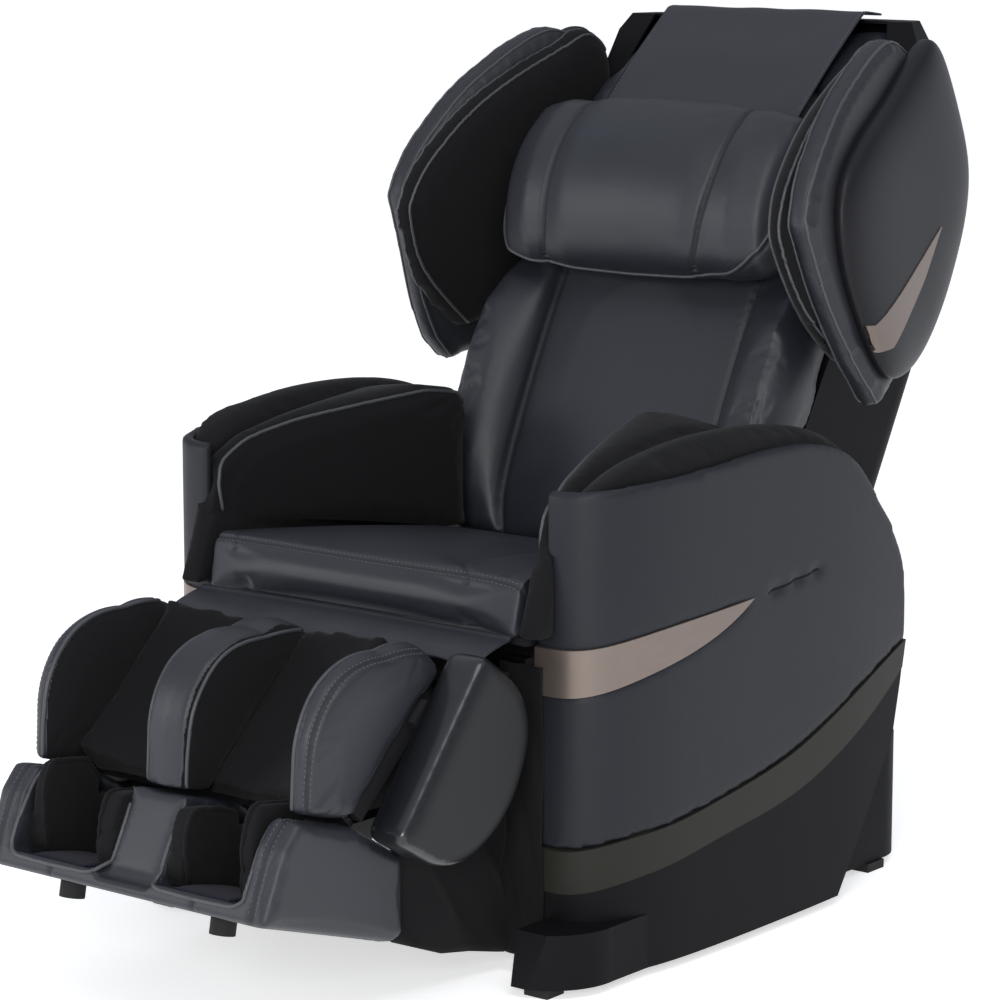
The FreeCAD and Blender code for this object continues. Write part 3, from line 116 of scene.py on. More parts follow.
# %% [markdown]
# ## Words for materials
# A material is a small network of nodes. Writing it as sums on Python objects keeps it short: one class wraps a socket and
# turns each sum into a Math node, and one method makes any other node from its type, its settings and its inputs.
# %% Socket sums
class Level:
    """A number that changes over a surface: the output socket of a node, on which sums may be written."""

    def __init__(self, finish, socket):
        self.finish = finish
        self.socket = socket

    def sum(self, operation, first, second=None):
        """A Math node of that operation on one or two numbers or levels."""
        return self.finish.node("ShaderNodeMath", {"operation": operation}, {0: first, 1: second})

    def __add__(self, other):
        return self.sum("ADD", self, other)

    def __radd__(self, other):
        return self.sum("ADD", other, self)

    def __sub__(self, other):
        return self.sum("SUBTRACT", self, other)

    def __rsub__(self, other):
        return self.sum("SUBTRACT", other, self)

    def __mul__(self, other):
        return self.sum("MULTIPLY", self, other)

    def __rmul__(self, other):
        return self.sum("MULTIPLY", other, self)


# %% Finish builder
class Finish:
    """A material being written: its shader, and a method that adds any node to it."""

    def __init__(self, name, **constants):
        self.material = bpy.data.materials.new(name)
        self.material.use_nodes = True
        self.tree = self.material.node_tree
        self.shader = self.tree.nodes["Principled BSDF"]
        for socket, value in constants.items():
            self.shader.inputs[socket.replace("_", " ").title().replace("Ior", "IOR")].default_value = value
        self.place = self.node("ShaderNodeTexCoord", out="Object")

    def node(self, kind, settings=None, inputs=None, out=0):
        """Adds a node, sets its own settings first, then gives its sockets values or links, and returns its output."""
        made = self.tree.nodes.new(kind)
        for key, value in (settings or {}).items():
            setattr(made, key, value)
        for key, value in (inputs or {}).items():
            if isinstance(value, Level):
                self.tree.links.new(value.socket, made.inputs[key])
            elif value is not None:
                made.inputs[key].default_value = value
        return Level(self, made.outputs[out])

    def stretched(self, scale, turn=(0, 0, 0)):
        """The place on the piece, turned and then multiplied by a scale on each axis."""
        return self.node("ShaderNodeMapping", {}, {"Vector": self.place, "Rotation": turn, "Scale": scale})

    def cloud(self, scale, detail=3.0, roughness=0.5, distortion=0.0, place=None):
        """Soft noise between 0 and 1, with that many waves to a metre."""
        return self.node("ShaderNodeTexNoise", {}, {"Vector": place or self.place, "Scale": scale, "Detail": detail,
                                                    "Roughness": roughness, "Distortion": distortion})

    def cells(self, scale, place=None):
        """Distance to the nearest of many scattered points: pebbles, pores or grains."""
        return self.node("ShaderNodeTexVoronoi", {}, {"Vector": place or self.place, "Scale": scale}, out="Distance")

    def mark(self, name):
        """A number that the piece itself carries at each point of its mesh; 0 where it carries none."""
        return self.node("ShaderNodeAttribute", {"attribute_name": name}, out="Fac")

    def blend(self, share, dark, light):
        """A colour between two others."""
        return self.node("ShaderNodeMix", {"data_type": "RGBA"}, {0: share, 6: dark, 7: light}, out=2)

    def bump(self, height, depth, strength=1.0, under=None):
        """A relief of that depth in metres, laid over another relief where one is given."""
        inputs = {"Height": height, "Distance": depth, "Strength": strength, "Normal": under}
        return self.node("ShaderNodeBump", {}, inputs, out="Normal")

    def set(self, **links):
        """Feeds the shader's own sockets, and returns the finished material."""
        for socket, level in links.items():
            self.tree.links.new(level.socket, self.shader.inputs[socket.replace("_", " ").title()])
        return self.material


def rgb(red, green, blue):
    """A colour with full opacity."""
    return (red, green, blue, 1.0)


print("material words ready")

# %% [markdown]
# ## Leather
# The covers are coated leather: fine pebbles about a millimetre wide, a broad satin shine, and painted shade that
# darkens the colour along the pressed seams. Cells give the pebbles, and two clouds of different size give creases and
# uneven dye.
# %% Leather finishes
def leather(name, dark, light, roughness=0.42, pebble=620.0, crease=0.00045, shine=0.5):
    """Pebbles from cell distance, creases from stretched clouds, and painted shade and roughness along marked seams."""
    f = Finish(name, specular_ior_level=shine)
    dye = f.cloud(7.0, 4.0)
    pores = f.cells(pebble)
    seam_shade = f.mark("seam")
    folds = f.cloud(38.0, 5.0, 0.62, 0.9)
    # The seam mark darkens the colour: painted shade in the pressed seam grooves.
    shade = dye * 0.6 + pores * 0.3 + 0.1 - seam_shade * 0.5
    pebbled = f.bump(pores, 0.00020, 0.5)
    creased = f.bump(folds, crease, 0.5, pebbled)
    return f.set(base_color=f.blend(shade, dark, light), roughness=roughness + dye * 0.10 + seam_shade * 0.25 + pores * 0.08 - 0.04,
                 normal=creased)


seat_leather = leather("seat_leather", rgb(0.0095, 0.0105, 0.0140), rgb(0.021, 0.0235, 0.032))
side_leather = leather("side_leather", rgb(0.0085, 0.0092, 0.0118), rgb(0.017, 0.0185, 0.0245), 0.46, 520.0, shine=0.28)
wing_leather = leather("wing_leather", rgb(0.009, 0.0095, 0.012), rgb(0.018, 0.0195, 0.0255), 0.44)
# The piping leather is the cover leather made about three times lighter, a painted highlight for the light that the
# round piping catches; its lower roughness is its own.
piping_leather = leather("piping_leather", rgb(0.030, 0.031, 0.035), rgb(0.060, 0.062, 0.068), 0.36, 900.0, 0.0001)
print("leathers:", seat_leather.name, side_leather.name, wing_leather.name, piping_leather.name)

# %% [markdown]
# ## Cloth
# The arm pads, the wells and the skirt are a matt black knit. A regular weave as fine as a pixel would flicker, so small
# scattered cells, longer one way than the other, stand for the loops, and clouds give the uneven nap.
# %% Cloth finishes
def cloth(name, dark, light, loop=760.0, relief=0.0003):
    """Long small cells for the loops of the knit, a cloudy nap over them, and soft creases."""
    f = Finish(name, specular_ior_level=0.15, sheen_weight=0.04, sheen_roughness=0.5)
    nap = f.cloud(45.0, 4.0)
    loops = f.cells(loop, place=f.stretched((1, 1, 0.55), (0.3, 0.2, 0.4)))
    creases = f.cloud(16.0, 3.0, 0.55, 0.6)
    seam_shade = f.mark("seam")
    # The seam mark darkens the colour: painted shade in the pressed seam grooves.
    return f.set(base_color=f.blend(loops * 0.5 + nap * 0.5 - seam_shade * 0.4, dark, light), roughness=0.78 + nap * 0.2,
                 normal=f.bump(creases, 0.0016, 0.35, f.bump(loops, relief, 0.6)))


black_cloth = cloth("black_cloth", rgb(0.0035, 0.0035, 0.0038), rgb(0.009, 0.009, 0.0098))
sole_fabric = cloth("sole_fabric", rgb(0.005, 0.005, 0.011), rgb(0.016, 0.016, 0.030))
thread = cloth("thread", rgb(0.060, 0.062, 0.068), rgb(0.13, 0.13, 0.14), 2400.0, 0.0001)
print("cloths:", black_cloth.name, sole_fabric.name, thread.name)

# %% [markdown]
# ## Moulded and painted finishes
# Hard covers are moulded: satin, matt or glossy. Each has a fine texture of its own, because no moulding is quite smooth.
# %% Hard finishes
def moulded(name, dark, light, roughness, grain=900.0, relief=0.00010, coat=0.0, metallic=0.0, streak=(1, 1, 1),
            shine=0.5):
    """A fine eggshell texture, with the shine broken a little by handling."""
    f = Finish(name, metallic=metallic, coat_weight=coat, coat_roughness=0.04, specular_ior_level=shine)
    place = f.stretched(streak)
    fine = f.cloud(grain, 2.0, place=place)
    handling = f.cloud(9.0, 3.0)
    return f.set(base_color=f.blend(handling * 0.6 + fine * 0.4, dark, light),
                 roughness=roughness + handling * 0.08 + fine * 0.06 - 0.07, normal=f.bump(fine, relief, 0.5))


finishes = {
    "seat_leather": seat_leather,
    "side_leather": side_leather,
    "wing_leather": wing_leather,
    "black_cloth": black_cloth,
    "sole_fabric": sole_fabric,
    "frame_steel": moulded("frame_steel", rgb(0.02, 0.02, 0.022), rgb(0.035, 0.035, 0.039), 0.45, 500.0, metallic=0.3),
    "bright_steel": moulded("bright_steel", rgb(0.42, 0.42, 0.43), rgb(0.55, 0.55, 0.56), 0.28, 700.0, 0.00004, metallic=1.0,
                            streak=(1, 0.05, 1)),
    "motor_black": moulded("motor_black", rgb(0.014, 0.014, 0.015), rgb(0.024, 0.024, 0.026), 0.55),
    "box_grey": moulded("box_grey", rgb(0.10, 0.10, 0.105), rgb(0.14, 0.14, 0.145), 0.5),
    "wing_plastic": moulded("wing_plastic", rgb(0.008, 0.008, 0.0098), rgb(0.013, 0.013, 0.0155), 0.42, 1400.0, 0.00005,
                            shine=0.2),
    "shell_black": moulded("shell_black", rgb(0.0045, 0.0045, 0.005), rgb(0.006, 0.006, 0.007), 0.6, 1100.0, shine=0.12),
    "band_olive": moulded("band_olive", rgb(0.016, 0.016, 0.0125), rgb(0.020, 0.020, 0.015), 0.5, shine=0.2),
    "bronze": moulded("bronze", rgb(0.17, 0.135, 0.115), rgb(0.25, 0.205, 0.18), 0.36, 900.0, 0.00003, metallic=0.7,
                      streak=(1, 0.04, 0.2)),
    "box_gloss": moulded("box_gloss", rgb(0.005, 0.0055, 0.007), rgb(0.008, 0.0085, 0.010), 0.30, 1500.0, 0.00004, coat=0.25),
    "roller_plastic": moulded("roller_plastic", rgb(0.22, 0.21, 0.19), rgb(0.30, 0.29, 0.26), 0.5),
    "foot_rubber": moulded("foot_rubber", rgb(0.008, 0.008, 0.008), rgb(0.014, 0.014, 0.014), 0.7, 600.0, shine=0.3),
    "inlet_black": moulded("inlet_black", rgb(0.010, 0.010, 0.011), rgb(0.018, 0.018, 0.019), 0.45),
}
print("finishes:", len(finishes))

# %% [markdown]
# ## Dressing the hard pieces
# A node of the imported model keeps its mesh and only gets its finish. The record says which finish each node has.
# %% Finish of every node
def finish_of(node):
    """The finish that the record names for a node: the name of the material it came with."""
    return nodes[node].data.materials[0].name.split(".")[0]


slot_of = {name: finish_of(name) for name in nodes}
for name, node in nodes.items():
    node.data.materials.clear()
    node.data.materials.append(finishes[slot_of[name]])
print("finishes used by the frame:", sorted(set(slot_of.values())))

# %% [markdown]
# ## Places on the chair
# The soft goods are drawn where a maker would draw them: along the backrest, along the leg rest, or from the front edge of
# the arms. Each of these three rulers is a plain turn and shift, so an array of points goes through one at once.
# %% Rulers
def from_arm(points):
    """Points in millimetres, y counted from the front edge of the arms, as metres in the frame."""
    return (np.asarray(points, float) - (0, 256, 0)) / 1000


def up_back(points):
    """(x, u, w): u millimetres up the backrest and w back from its front plane, which leans 26.7 degrees."""
    x, u, w = np.asarray(points, float).T
    return from_arm(np.stack([x, 436 + 0.4493 * u + 0.8934 * w, 450 + 0.8934 * u - 0.4493 * w], 1))


def down_leg(points):
    """(x, s, n): s millimetres down the leg rest and n out of its tray, which drops 42.2 degrees."""
    x, s, n = np.asarray(points, float).T
    return from_arm(np.stack([x, -252.3 - 0.7408 * s - 0.6717 * n, 278.6 - 0.6717 * s + 0.7408 * n], 1))


CUTS = 24


def line(points, step=0.003, closed=False):
    """A smooth line through points, cut into even steps. Between two points it is the cubic whose slope at each point is
    half of the way from the point before to the point after."""
    p = np.asarray(points, float)
    ends = np.vstack([p[-1:], p, p[:2]]) if closed else np.vstack([2 * p[0] - p[1], p, 2 * p[-1] - p[-2]])
    a, b, c, d = ends[:-3], ends[1:-2], ends[2:-1], ends[3:]
    t = np.linspace(0, 1, CUTS, endpoint=False)[:, None, None]
    run = 0.5 * (2 * b + (c - a) * t + (2 * a - 5 * b + 4 * c - d) * t ** 2 + (3 * b - a - 3 * c + d) * t ** 3)
    run = np.vstack([run.transpose(1, 0, 2).reshape(-1, 3), p[:1] if closed else p[-1:]])
    far = np.concatenate([[0], np.cumsum(np.linalg.norm(np.diff(run, axis=0), axis=1))])
    count = max(2, int(round(far[-1] / step)))
    even = np.linspace(0, far[-1], count + 1)[: count if closed else count + 1]
    return np.stack([np.interp(even, far, run[:, i]) for i in range(3)], 1)


SIDES = ((1, "left"), (-1, "right"))
print("the sitter's left is at positive x")

# %% [markdown]
# ## Soft pieces from their solids
# A cushion starts as a copy of its own solid. It is cut into small even faces, blown up a little like a sewn cover over foam,
# held along its seams and to a few millimetres of movement, and smoothed. The seams are pressed into the finished skin.
# %% Mesh words
def points_of(mesh):
    """All corner points of a mesh as one array, a row for each."""
    flat = np.empty(len(mesh.vertices) * 3)
    mesh.vertices.foreach_get("co", flat)
    return flat.reshape(-1, 3)


def normals_of(mesh):
    """The outward direction at each corner point."""
    flat = np.empty(len(mesh.vertices) * 3)
    mesh.vertices.foreach_get("normal", flat)
    return flat.reshape(-1, 3)


def put_points(mesh, points):
    """Moves every corner point to a row of the array."""
    mesh.vertices.foreach_set("co", points.ravel())
    mesh.update()


def show(name, mesh):
    """Puts a mesh in the scene under a name."""
    piece = bpy.data.objects.new(name, mesh)
    scene.collection.objects.link(piece)
    return piece


def settled(piece):
    """The piece with its modifiers made real: a new mesh takes the place of the old."""
    graph = bpy.context.evaluated_depsgraph_get()
    mesh = bpy.data.meshes.new_from_object(piece.evaluated_get(graph))
    piece.modifiers.clear()
    piece.data = mesh
    return piece


def dressed(piece, node, finish=None):
    """The piece takes one finish, its node's own unless another is given, and a smooth skin."""
    piece.data.materials.clear()
    piece.data.materials.append(finish or finishes[slot_of[node]])
    piece.data.polygons.foreach_set("use_smooth", [True] * len(piece.data.polygons))
    return piece


def ride_with(piece, node, finish=None):
    """The piece is dressed, and moves as its node does."""
    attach(dressed(piece, node, finish), body_of(nodes[node])[0])
    return piece


# %% Skin
def skin(name, node, voxel=0.005, slimmer=0.0, smooth=6):
    """An even skin over a node's solid, drawn in along its outward directions, and smoothed."""
    shell = bmesh.new()
    shell.from_mesh(nodes[node].data)
    bmesh.ops.remove_doubles(shell, verts=shell.verts, dist=1e-5)
    bmesh.ops.recalc_face_normals(shell, faces=shell.faces)
    mesh = bpy.data.meshes.new(name)
    shell.to_mesh(mesh)
    shell.free()
    piece = show(name, mesh)
    remesh = piece.modifiers.new("even", "REMESH")
    remesh.mode = "VOXEL"
    remesh.voxel_size = voxel
    settled(piece)
    put_points(piece.data, points_of(piece.data) - slimmer * normals_of(piece.data))
    return ease(piece, smooth)


def ease(piece, rounds, factor=0.5):
    """Each point moves some way towards the middle of its neighbours, in several rounds."""
    soften = piece.modifiers.new("ease", "SMOOTH")
    soften.factor = factor
    soften.iterations = rounds
    return settled(piece)


def divided(piece):
    """Every face cut in four and rounded once."""
    finer = piece.modifiers.new("finer", "SUBSURF")
    finer.levels = 1
    finer.render_levels = 1
    return settled(piece)


# %% Lines on a skin
def trace(piece, path, aim=None, reach=0.09):
    """Carries a path onto a skin: along a direction where one is given, and else to the nearest place. Returns the places
    and the outward directions there, averaged along the path."""
    bpy.context.view_layer.update()
    tree = BVHTree.FromObject(piece, bpy.context.evaluated_depsgraph_get())
    way = None if aim is None else Vector(aim).normalized()
    found = []
    for point in path:
        hit = tree.ray_cast(Vector(point) - way * reach, way) if way else (None,)
        if hit[0] is None:
            hit = tree.find_nearest(Vector(point))
        found.append((hit[0], hit[1]))
    places = np.array([place for place, _ in found])
    outward = np.array([direction for _, direction in found])
    padded_out = np.vstack([outward[:1]] * 3 + [outward] + [outward[-1:]] * 3)
    outward = sum(padded_out[i:i + len(outward)] for i in range(7))
    return places, outward / np.linalg.norm(outward, axis=1, keepdims=True)


def distance_to(points, path, reach):
    """Distance of each point from the nearest point of the path, and reach where it is further than that."""
    found = np.full(len(points), reach)
    inside = np.flatnonzero(((points > path.min(0) - reach) & (points < path.max(0) + reach)).all(1))
    for part in np.array_split(inside, max(1, len(inside) * len(path) // 3000000)):
        away = np.linalg.norm(points[part][:, None] - path[None], axis=2).min(1)
        found[part] = np.minimum(away, reach)
    return found


def blown(piece, cap, sewn=(), hold=0.014, pressure=5.0, frames=11, stiffness=12.0):
    """The skin swells under air pressure like a sewn cover. Its seams are held, each point within hold of one the more the
    nearer it lies, and no point moves further than the cap."""
    if not cap:
        return piece
    before = points_of(piece.data)
    inflated = piece.modifiers.new("sewn", "CLOTH")
    if len(sewn):
        held = piece.vertex_groups.new(name="held")
        away = distance_to(before, np.vstack(sewn), hold)
        for index in np.flatnonzero(away < hold):
            held.add([int(index)], 1 - away[index] / hold, "REPLACE")
        inflated.settings.vertex_group_mass = "held"
    inflated.settings.use_pressure = True
    inflated.settings.uniform_pressure_force = pressure
    inflated.settings.tension_stiffness = stiffness
    inflated.settings.compression_stiffness = stiffness
    inflated.settings.effector_weights.gravity = 0
    inflated.point_cache.frame_end = frames
    for step in range(1, frames + 1):
        scene.frame_set(step)
    settled(piece)
    scene.frame_set(1)
    move = points_of(piece.data) - before
    length = np.linalg.norm(move, axis=1, keepdims=True)
    put_points(piece.data, before + move * np.minimum(1, cap / np.maximum(length, 1e-9)))
    return piece


def press(piece, paths, width=0.0035, depth=0.004):
    """A groove along each path: a point sinks by depth * exp(-(distance / width) ** 2) against its outward direction.
    The same bell curve stays on the mesh as the number "seam", which the finishes read as painted shade in the groove."""
    points = points_of(piece.data)
    away = distance_to(points, np.vstack(paths), width * 3)
    bell = np.exp(-(away / width) ** 2) * (away < width * 3)
    put_points(piece.data, points - normals_of(piece.data) * (bell * depth)[:, None])
    mark = piece.data.attributes.get("seam") or piece.data.attributes.new("seam", "FLOAT", "POINT")
    kept = np.zeros(len(bell), np.float32)
    mark.data.foreach_get("value", kept)
    mark.data.foreach_set("value", np.maximum(kept, bell).astype(np.float32))


# %% [markdown]
# ## Piping and stitches
# Piping is a thin leather roll sewn into a seam, and a stitch is a short thread that dips into the cover at both ends. Both
# are swept along lines traced on the finished skin, so they lie on it everywhere.
# %% Sewn details
def frames_along(places, outward, closed=False):
    """At each place of a path: its own direction, the outward direction made square to it, and the one across both."""
    step = np.roll(places, -1, 0) - np.roll(places, 1, 0) if closed else np.gradient(places, axis=0)
    along = step / np.linalg.norm(step, axis=1, keepdims=True)
    out = outward - along * (outward * along).sum(1, keepdims=True)
    out /= np.linalg.norm(out, axis=1, keepdims=True)
    return along, out, np.cross(along, out)


def woven(name, grid, closed=False, capped=True):
    """A mesh from a grid of points whose rows are rings: each ring closes on itself, and the ends are capped."""
    rows, sides = grid.shape[:2]
    index = np.arange(rows * sides).reshape(rows, sides)
    upper = np.roll(index, -1, 0) if closed else index[1:]
    lower = index if closed else index[:-1]
    quads = np.stack([lower, np.roll(lower, -1, 1), np.roll(upper, -1, 1), upper], 2).reshape(-1, 4).tolist()
    caps = [] if closed or not capped else [index[0][::-1].tolist(), index[-1].tolist()]
    mesh = bpy.data.meshes.new(name)
    mesh.from_pydata(grid.reshape(-1, 3).tolist(), [], quads + caps)
    return mesh


def piping(name, node, places, outward, radius=0.0022, lift=0.0006, closed=False, finish=None):
    """A round roll along a path: rings of the radius, square to the path, drawn in at both ends."""
    along, out, across = frames_along(places, outward, closed)
    turn = np.linspace(0, 2 * np.pi, 10, endpoint=False)[None, :, None]
    size = np.full(len(places), radius)
    if not closed:
        size[[0, -1]] *= 0.35
        size[[1, -2]] *= 0.8
    ring = np.cos(turn) * out[:, None] - np.sin(turn) * across[:, None]
    grid = (places + out * lift)[:, None] + ring * size[:, None, None]
    return ride_with(show(name, woven(name, grid, closed)), node, finish or piping_leather)


def stitches(name, node, lines_sewn, length=0.0042, gap=0.0026, thick=0.00075):
    """A row of threads along each path: little barrels whose radius is thick * sqrt(1 - (2x / length) ** 2)."""
    along_thread = np.array([-0.5, -0.36, 0, 0.36, 0.5]) * length
    girth = np.array([0.2, 0.72, 1, 0.72, 0.2]) * thick
    turn = np.linspace(0, 2 * np.pi, 5, endpoint=False)
    barrel = along_thread[:, None], girth[:, None] * np.cos(turn), girth[:, None] * np.sin(turn)
    local = np.stack(np.broadcast_arrays(*barrel), 2)
    corners = []
    for places, outward in lines_sewn:
        along, out, across = frames_along(places, outward)
        far = np.concatenate([[0], np.cumsum(np.linalg.norm(np.diff(places, axis=0), axis=1))])
        at = np.arange(length, far[-1] - length, length + gap)
        pick = [np.stack([np.interp(at, far, v[:, i]) for i in range(3)], 1) for v in (places, along, out, across)]
        corners.append(pick[0][:, None, None] + pick[1][:, None, None] * local[None, :, :, :1]
                       + pick[2][:, None, None] * local[None, :, :, 1:2] + pick[3][:, None, None] * local[None, :, :, 2:])
    corners = np.concatenate(corners)
    count = len(corners)
    one = np.arange(25).reshape(5, 5)
    quads = np.stack([one[:-1], one[1:], np.roll(one[1:], -1, 1), np.roll(one[:-1], -1, 1)], 2).reshape(-1, 4)
    faces = (quads[None] + 25 * np.arange(count)[:, None, None]).reshape(-1, 4).tolist()
    caps = (np.stack([one[0], one[-1][::-1]])[None] + 25 * np.arange(count)[:, None, None]).reshape(-1, 5).tolist()
    mesh = bpy.data.meshes.new(name)
    mesh.from_pydata(corners.reshape(-1, 3).tolist(), [], faces + caps)
    return ride_with(show(name, mesh), node, thread)


def beside(places, outward, offset):
    """The same path moved sideways over the surface."""
    across = frames_along(places, outward)[2]
    return places + across * offset


print("words for lines, piping and stitches ready")

# %% [markdown]
# ## The padded covers
# Each cover needs the same steps, so they are one function. What differs is how fine its skin is, how far it may swell and
# where it is sewn: the seams are held still while the rest swells, which is what makes the panels between them full.
# %% Cover of one cushion
def cover(node, voxel=0.005, slimmer=0.001, rounds=6, cap=0.004, sewn=(), fine=True):
    """Skin over the solid, swelling between held seams, one subdivision, and the node's finish and motion."""
    piece = skin(node + "_cover", node, voxel, slimmer, rounds)
    blown(piece, cap, [trace(piece, path, aim)[0] for path, aim in sewn])
    if fine:
        divided(piece)
    ride_with(piece, node)
    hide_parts(node)
    print(piece.name, len(piece.data.polygons), "faces")
    return piece


def double_row(name, node, piece, seams, offset=0.0036):
    """Two rows of stitches, one on each side of every seam."""
    rows = [trace(piece, beside(places, outward, side)) for places, outward in seams for side in (-offset, offset)]
    return stitches(name, node, rows)


# %% [markdown]
# ## The seat
# The seat cushion has a tall plain front and a rolled edge. A seam with two rows of stitches runs along that edge, and two
# more run back from it, which make the corners. They are drawn from above and traced down onto the swollen cushion.
# %% Seat cushion
FORWARD_DOWN = (0, 1, -1)
DOWN = (0, 0, -1)
seat_edge = line(from_arm([(-257, -20, 511), (-206, -20, 509), (-50, -20, 507), (66, -20, 507), (179, -20, 508),
                           (227, -20, 507), (256, -20, 503)]))
seat_left = line(from_arm([(176, -22, 508), (152, 5, 512), (128, 44, 510), (120, 110, 503), (118, 200, 490), (116, 405, 460)]))
seat_right = line(from_arm([(-214, -22, 508), (-226, 5, 511), (-236, 47, 508), (-240, 130, 500), (-240, 405, 455)]))
seat = cover("seat_cushion", 0.006, 0.003, 6, 0.007, [(seat_edge, FORWARD_DOWN), (seat_left, DOWN), (seat_right, DOWN)])
seat_seams = [trace(seat, seat_edge, FORWARD_DOWN), trace(seat, seat_left, DOWN), trace(seat, seat_right, DOWN)]
press(seat, [places for places, _ in seat_seams], 0.0032, 0.003)
double_row("seat_cushion_stitches", "seat_cushion", seat, seat_seams[:1])

# %% [markdown]
# ## The backrest and the pillow
# Two deep seams part the back cushion into a flat middle and two round bolsters. The pillow has three panels and a piped
# edge below, and a leather flap joins it to the top of the chair.
# %% Backrest cushion
INTO_BACK = (0, 0.8934, -0.4493)
back_lines = [line(up_back([(side * x, u, 0) for x, u in ((150, 6), (160, 60), (165, 150), (166, 330), (164, 430), (160, 560),
                                                         (152, 690))])) for side in (-1, 1)]
back_rest = cover("back_cushion", 0.007, 0.004, 6, 0.009, [(path, INTO_BACK) for path in back_lines])
press(back_rest, [trace(back_rest, path, INTO_BACK)[0] for path in back_lines], 0.0055, 0.009)

# %% Pillow
pillow_lines = [line(up_back([(-x, u, -60) for x, u in ((143, 380), (139, 420), (137, 506), (137, 600), (137, 634))])),
                line(up_back([(x, u, -60) for x, u in ((114, 380), (124, 420), (137, 506), (137, 600), (137, 634))]))]
pillow_edge = line(up_back([(-232, 560, -64), (-240, 500, -72), (-238, 440, -74), (-222, 404, -72), (-176, 386, -66),
                            (-100, 381, -62), (0, 379, -62), (100, 380, -64), (160, 386, -72), (200, 408, -82),
                            (224, 450, -84), (234, 510, -76)]))
pillow = cover("pillow", 0.005, 0.002, 8, 0.007, [(path, INTO_BACK) for path in pillow_lines] + [(pillow_edge, None)])
press(pillow, [trace(pillow, path, INTO_BACK)[0] for path in pillow_lines], 0.0035, 0.005)
edge_places, edge_out = trace(pillow, pillow_edge)
piping("pillow_piping", "pillow", edge_places, edge_out, 0.0026, 0.0008)
press(pillow, [beside(edge_places, edge_out, 0.005)], 0.003, 0.002)

# %% Head flap
FLAP_HALF = 0.168
flap_run = line(up_back([(0, 634, -19), (0, 690, 3), (0, 736, 21.5), (0, 780, 41), (0, 822, 60), (0, 832, 66), (0, 838, 77),
                         (0, 849, 107)]), 0.006)
flap_across = np.linspace(-FLAP_HALF, FLAP_HALF, 57)


def flap_surface():
    """The run of the flap carried from side to side, lifted by shallow creases: 1.4 mm * sin(slanted waves), fading at the
    edges."""
    along = np.linspace(0, 1, len(flap_run))[:, None]
    side = (flap_across / FLAP_HALF)[None, :]
    crease = np.sin(9 * along + 2.2 * side + 1.5 * np.sin(3 * side)) * np.sin(5 * side - 4 * along) * (1 - side ** 4)
    grid = np.repeat(flap_run[:, None], len(flap_across), 1)
    grid[..., 0] = flap_across
    return grid + np.array([0, -0.4493, 0.8934]) * (0.0014 * crease)[..., None]


def cloth_sheet(name, grid):
    """A mesh from a grid of points that is open on all four sides."""
    rows, columns = grid.shape[:2]
    index = np.arange(rows * columns).reshape(rows, columns)
    quads = np.stack([index[:-1, :-1], index[:-1, 1:], index[1:, 1:], index[1:, :-1]], 2).reshape(-1, 4).tolist()
    mesh = bpy.data.meshes.new(name)
    mesh.from_pydata(grid.reshape(-1, 3).tolist(), [], quads)
    return mesh


def thickened(piece, thickness):
    """A sheet given its thickness, half on each side."""
    solid = piece.modifiers.new("thickness", "SOLIDIFY")
    solid.thickness = thickness
    solid.offset = 0
    return settled(piece)


flap = thickened(show("head_flap_cover", cloth_sheet("head_flap", flap_surface())), 0.003)
ride_with(flap, "head_flap")
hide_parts("head_flap")
flap_length = float(np.linalg.norm(np.diff(flap_run, axis=0), axis=1).sum())
flap_rows = [trace(flap, flap_run[2:-3] + (side * (FLAP_HALF - inset), 0, 0.004)) for side in (-1, 1) for inset in (0.004,)]
stitches("head_flap_stitches", "head_flap", flap_rows, 0.0045, 0.0018, 0.0009)
print("flap is", round(flap_length * 1000), "mm long")

# %% [markdown]
# ## The strip under the seat
# A strip of leather hangs from the lower front edge of the seat and runs forward to the calf pads. It is another sheet: a
# short profile in side view, carried from arm to arm, a little fuller in the middle.
# %% Strip
STRIP_HALF = 0.258
strip_run = line(from_arm([(0, -36, 441), (0, -42, 437), (0, -58, 434), (0, -84, 427), (0, -104, 417)]), 0.004)


def strip_surface():
    """The profile carried across, with a fullness of 2 mm * cos(half turn) and a shallow wave."""
    side = np.linspace(-1, 1, 120)
    grid = np.repeat(strip_run[:, None], 120, 1)
    grid[..., 0] = STRIP_HALF * side
    along = np.linspace(0, 1, len(strip_run))[:, None]
    grid[..., 2] += 0.002 * np.cos(np.pi * side / 2) + 0.0012 * along * np.sin(17 * side + 2)
    return grid


strip = thickened(show("seat_front_strip_cover", cloth_sheet("seat_front_strip", strip_surface())), 0.003)
dressed(strip, "seat_front_strip")
swing_bodies = [body_of(nodes[node])[0] for node in ("seat_front_strip", "calf_frame")]
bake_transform(strip, *swing_bodies, (0, -0.305, 0.436), (0, -0.355, 0.418))
print("bodies on the two sides of the leg rest's hinge:", swing_bodies)
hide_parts("seat_front_strip")
strip_length = float(np.linalg.norm(np.diff(strip_run, axis=0), axis=1).sum())
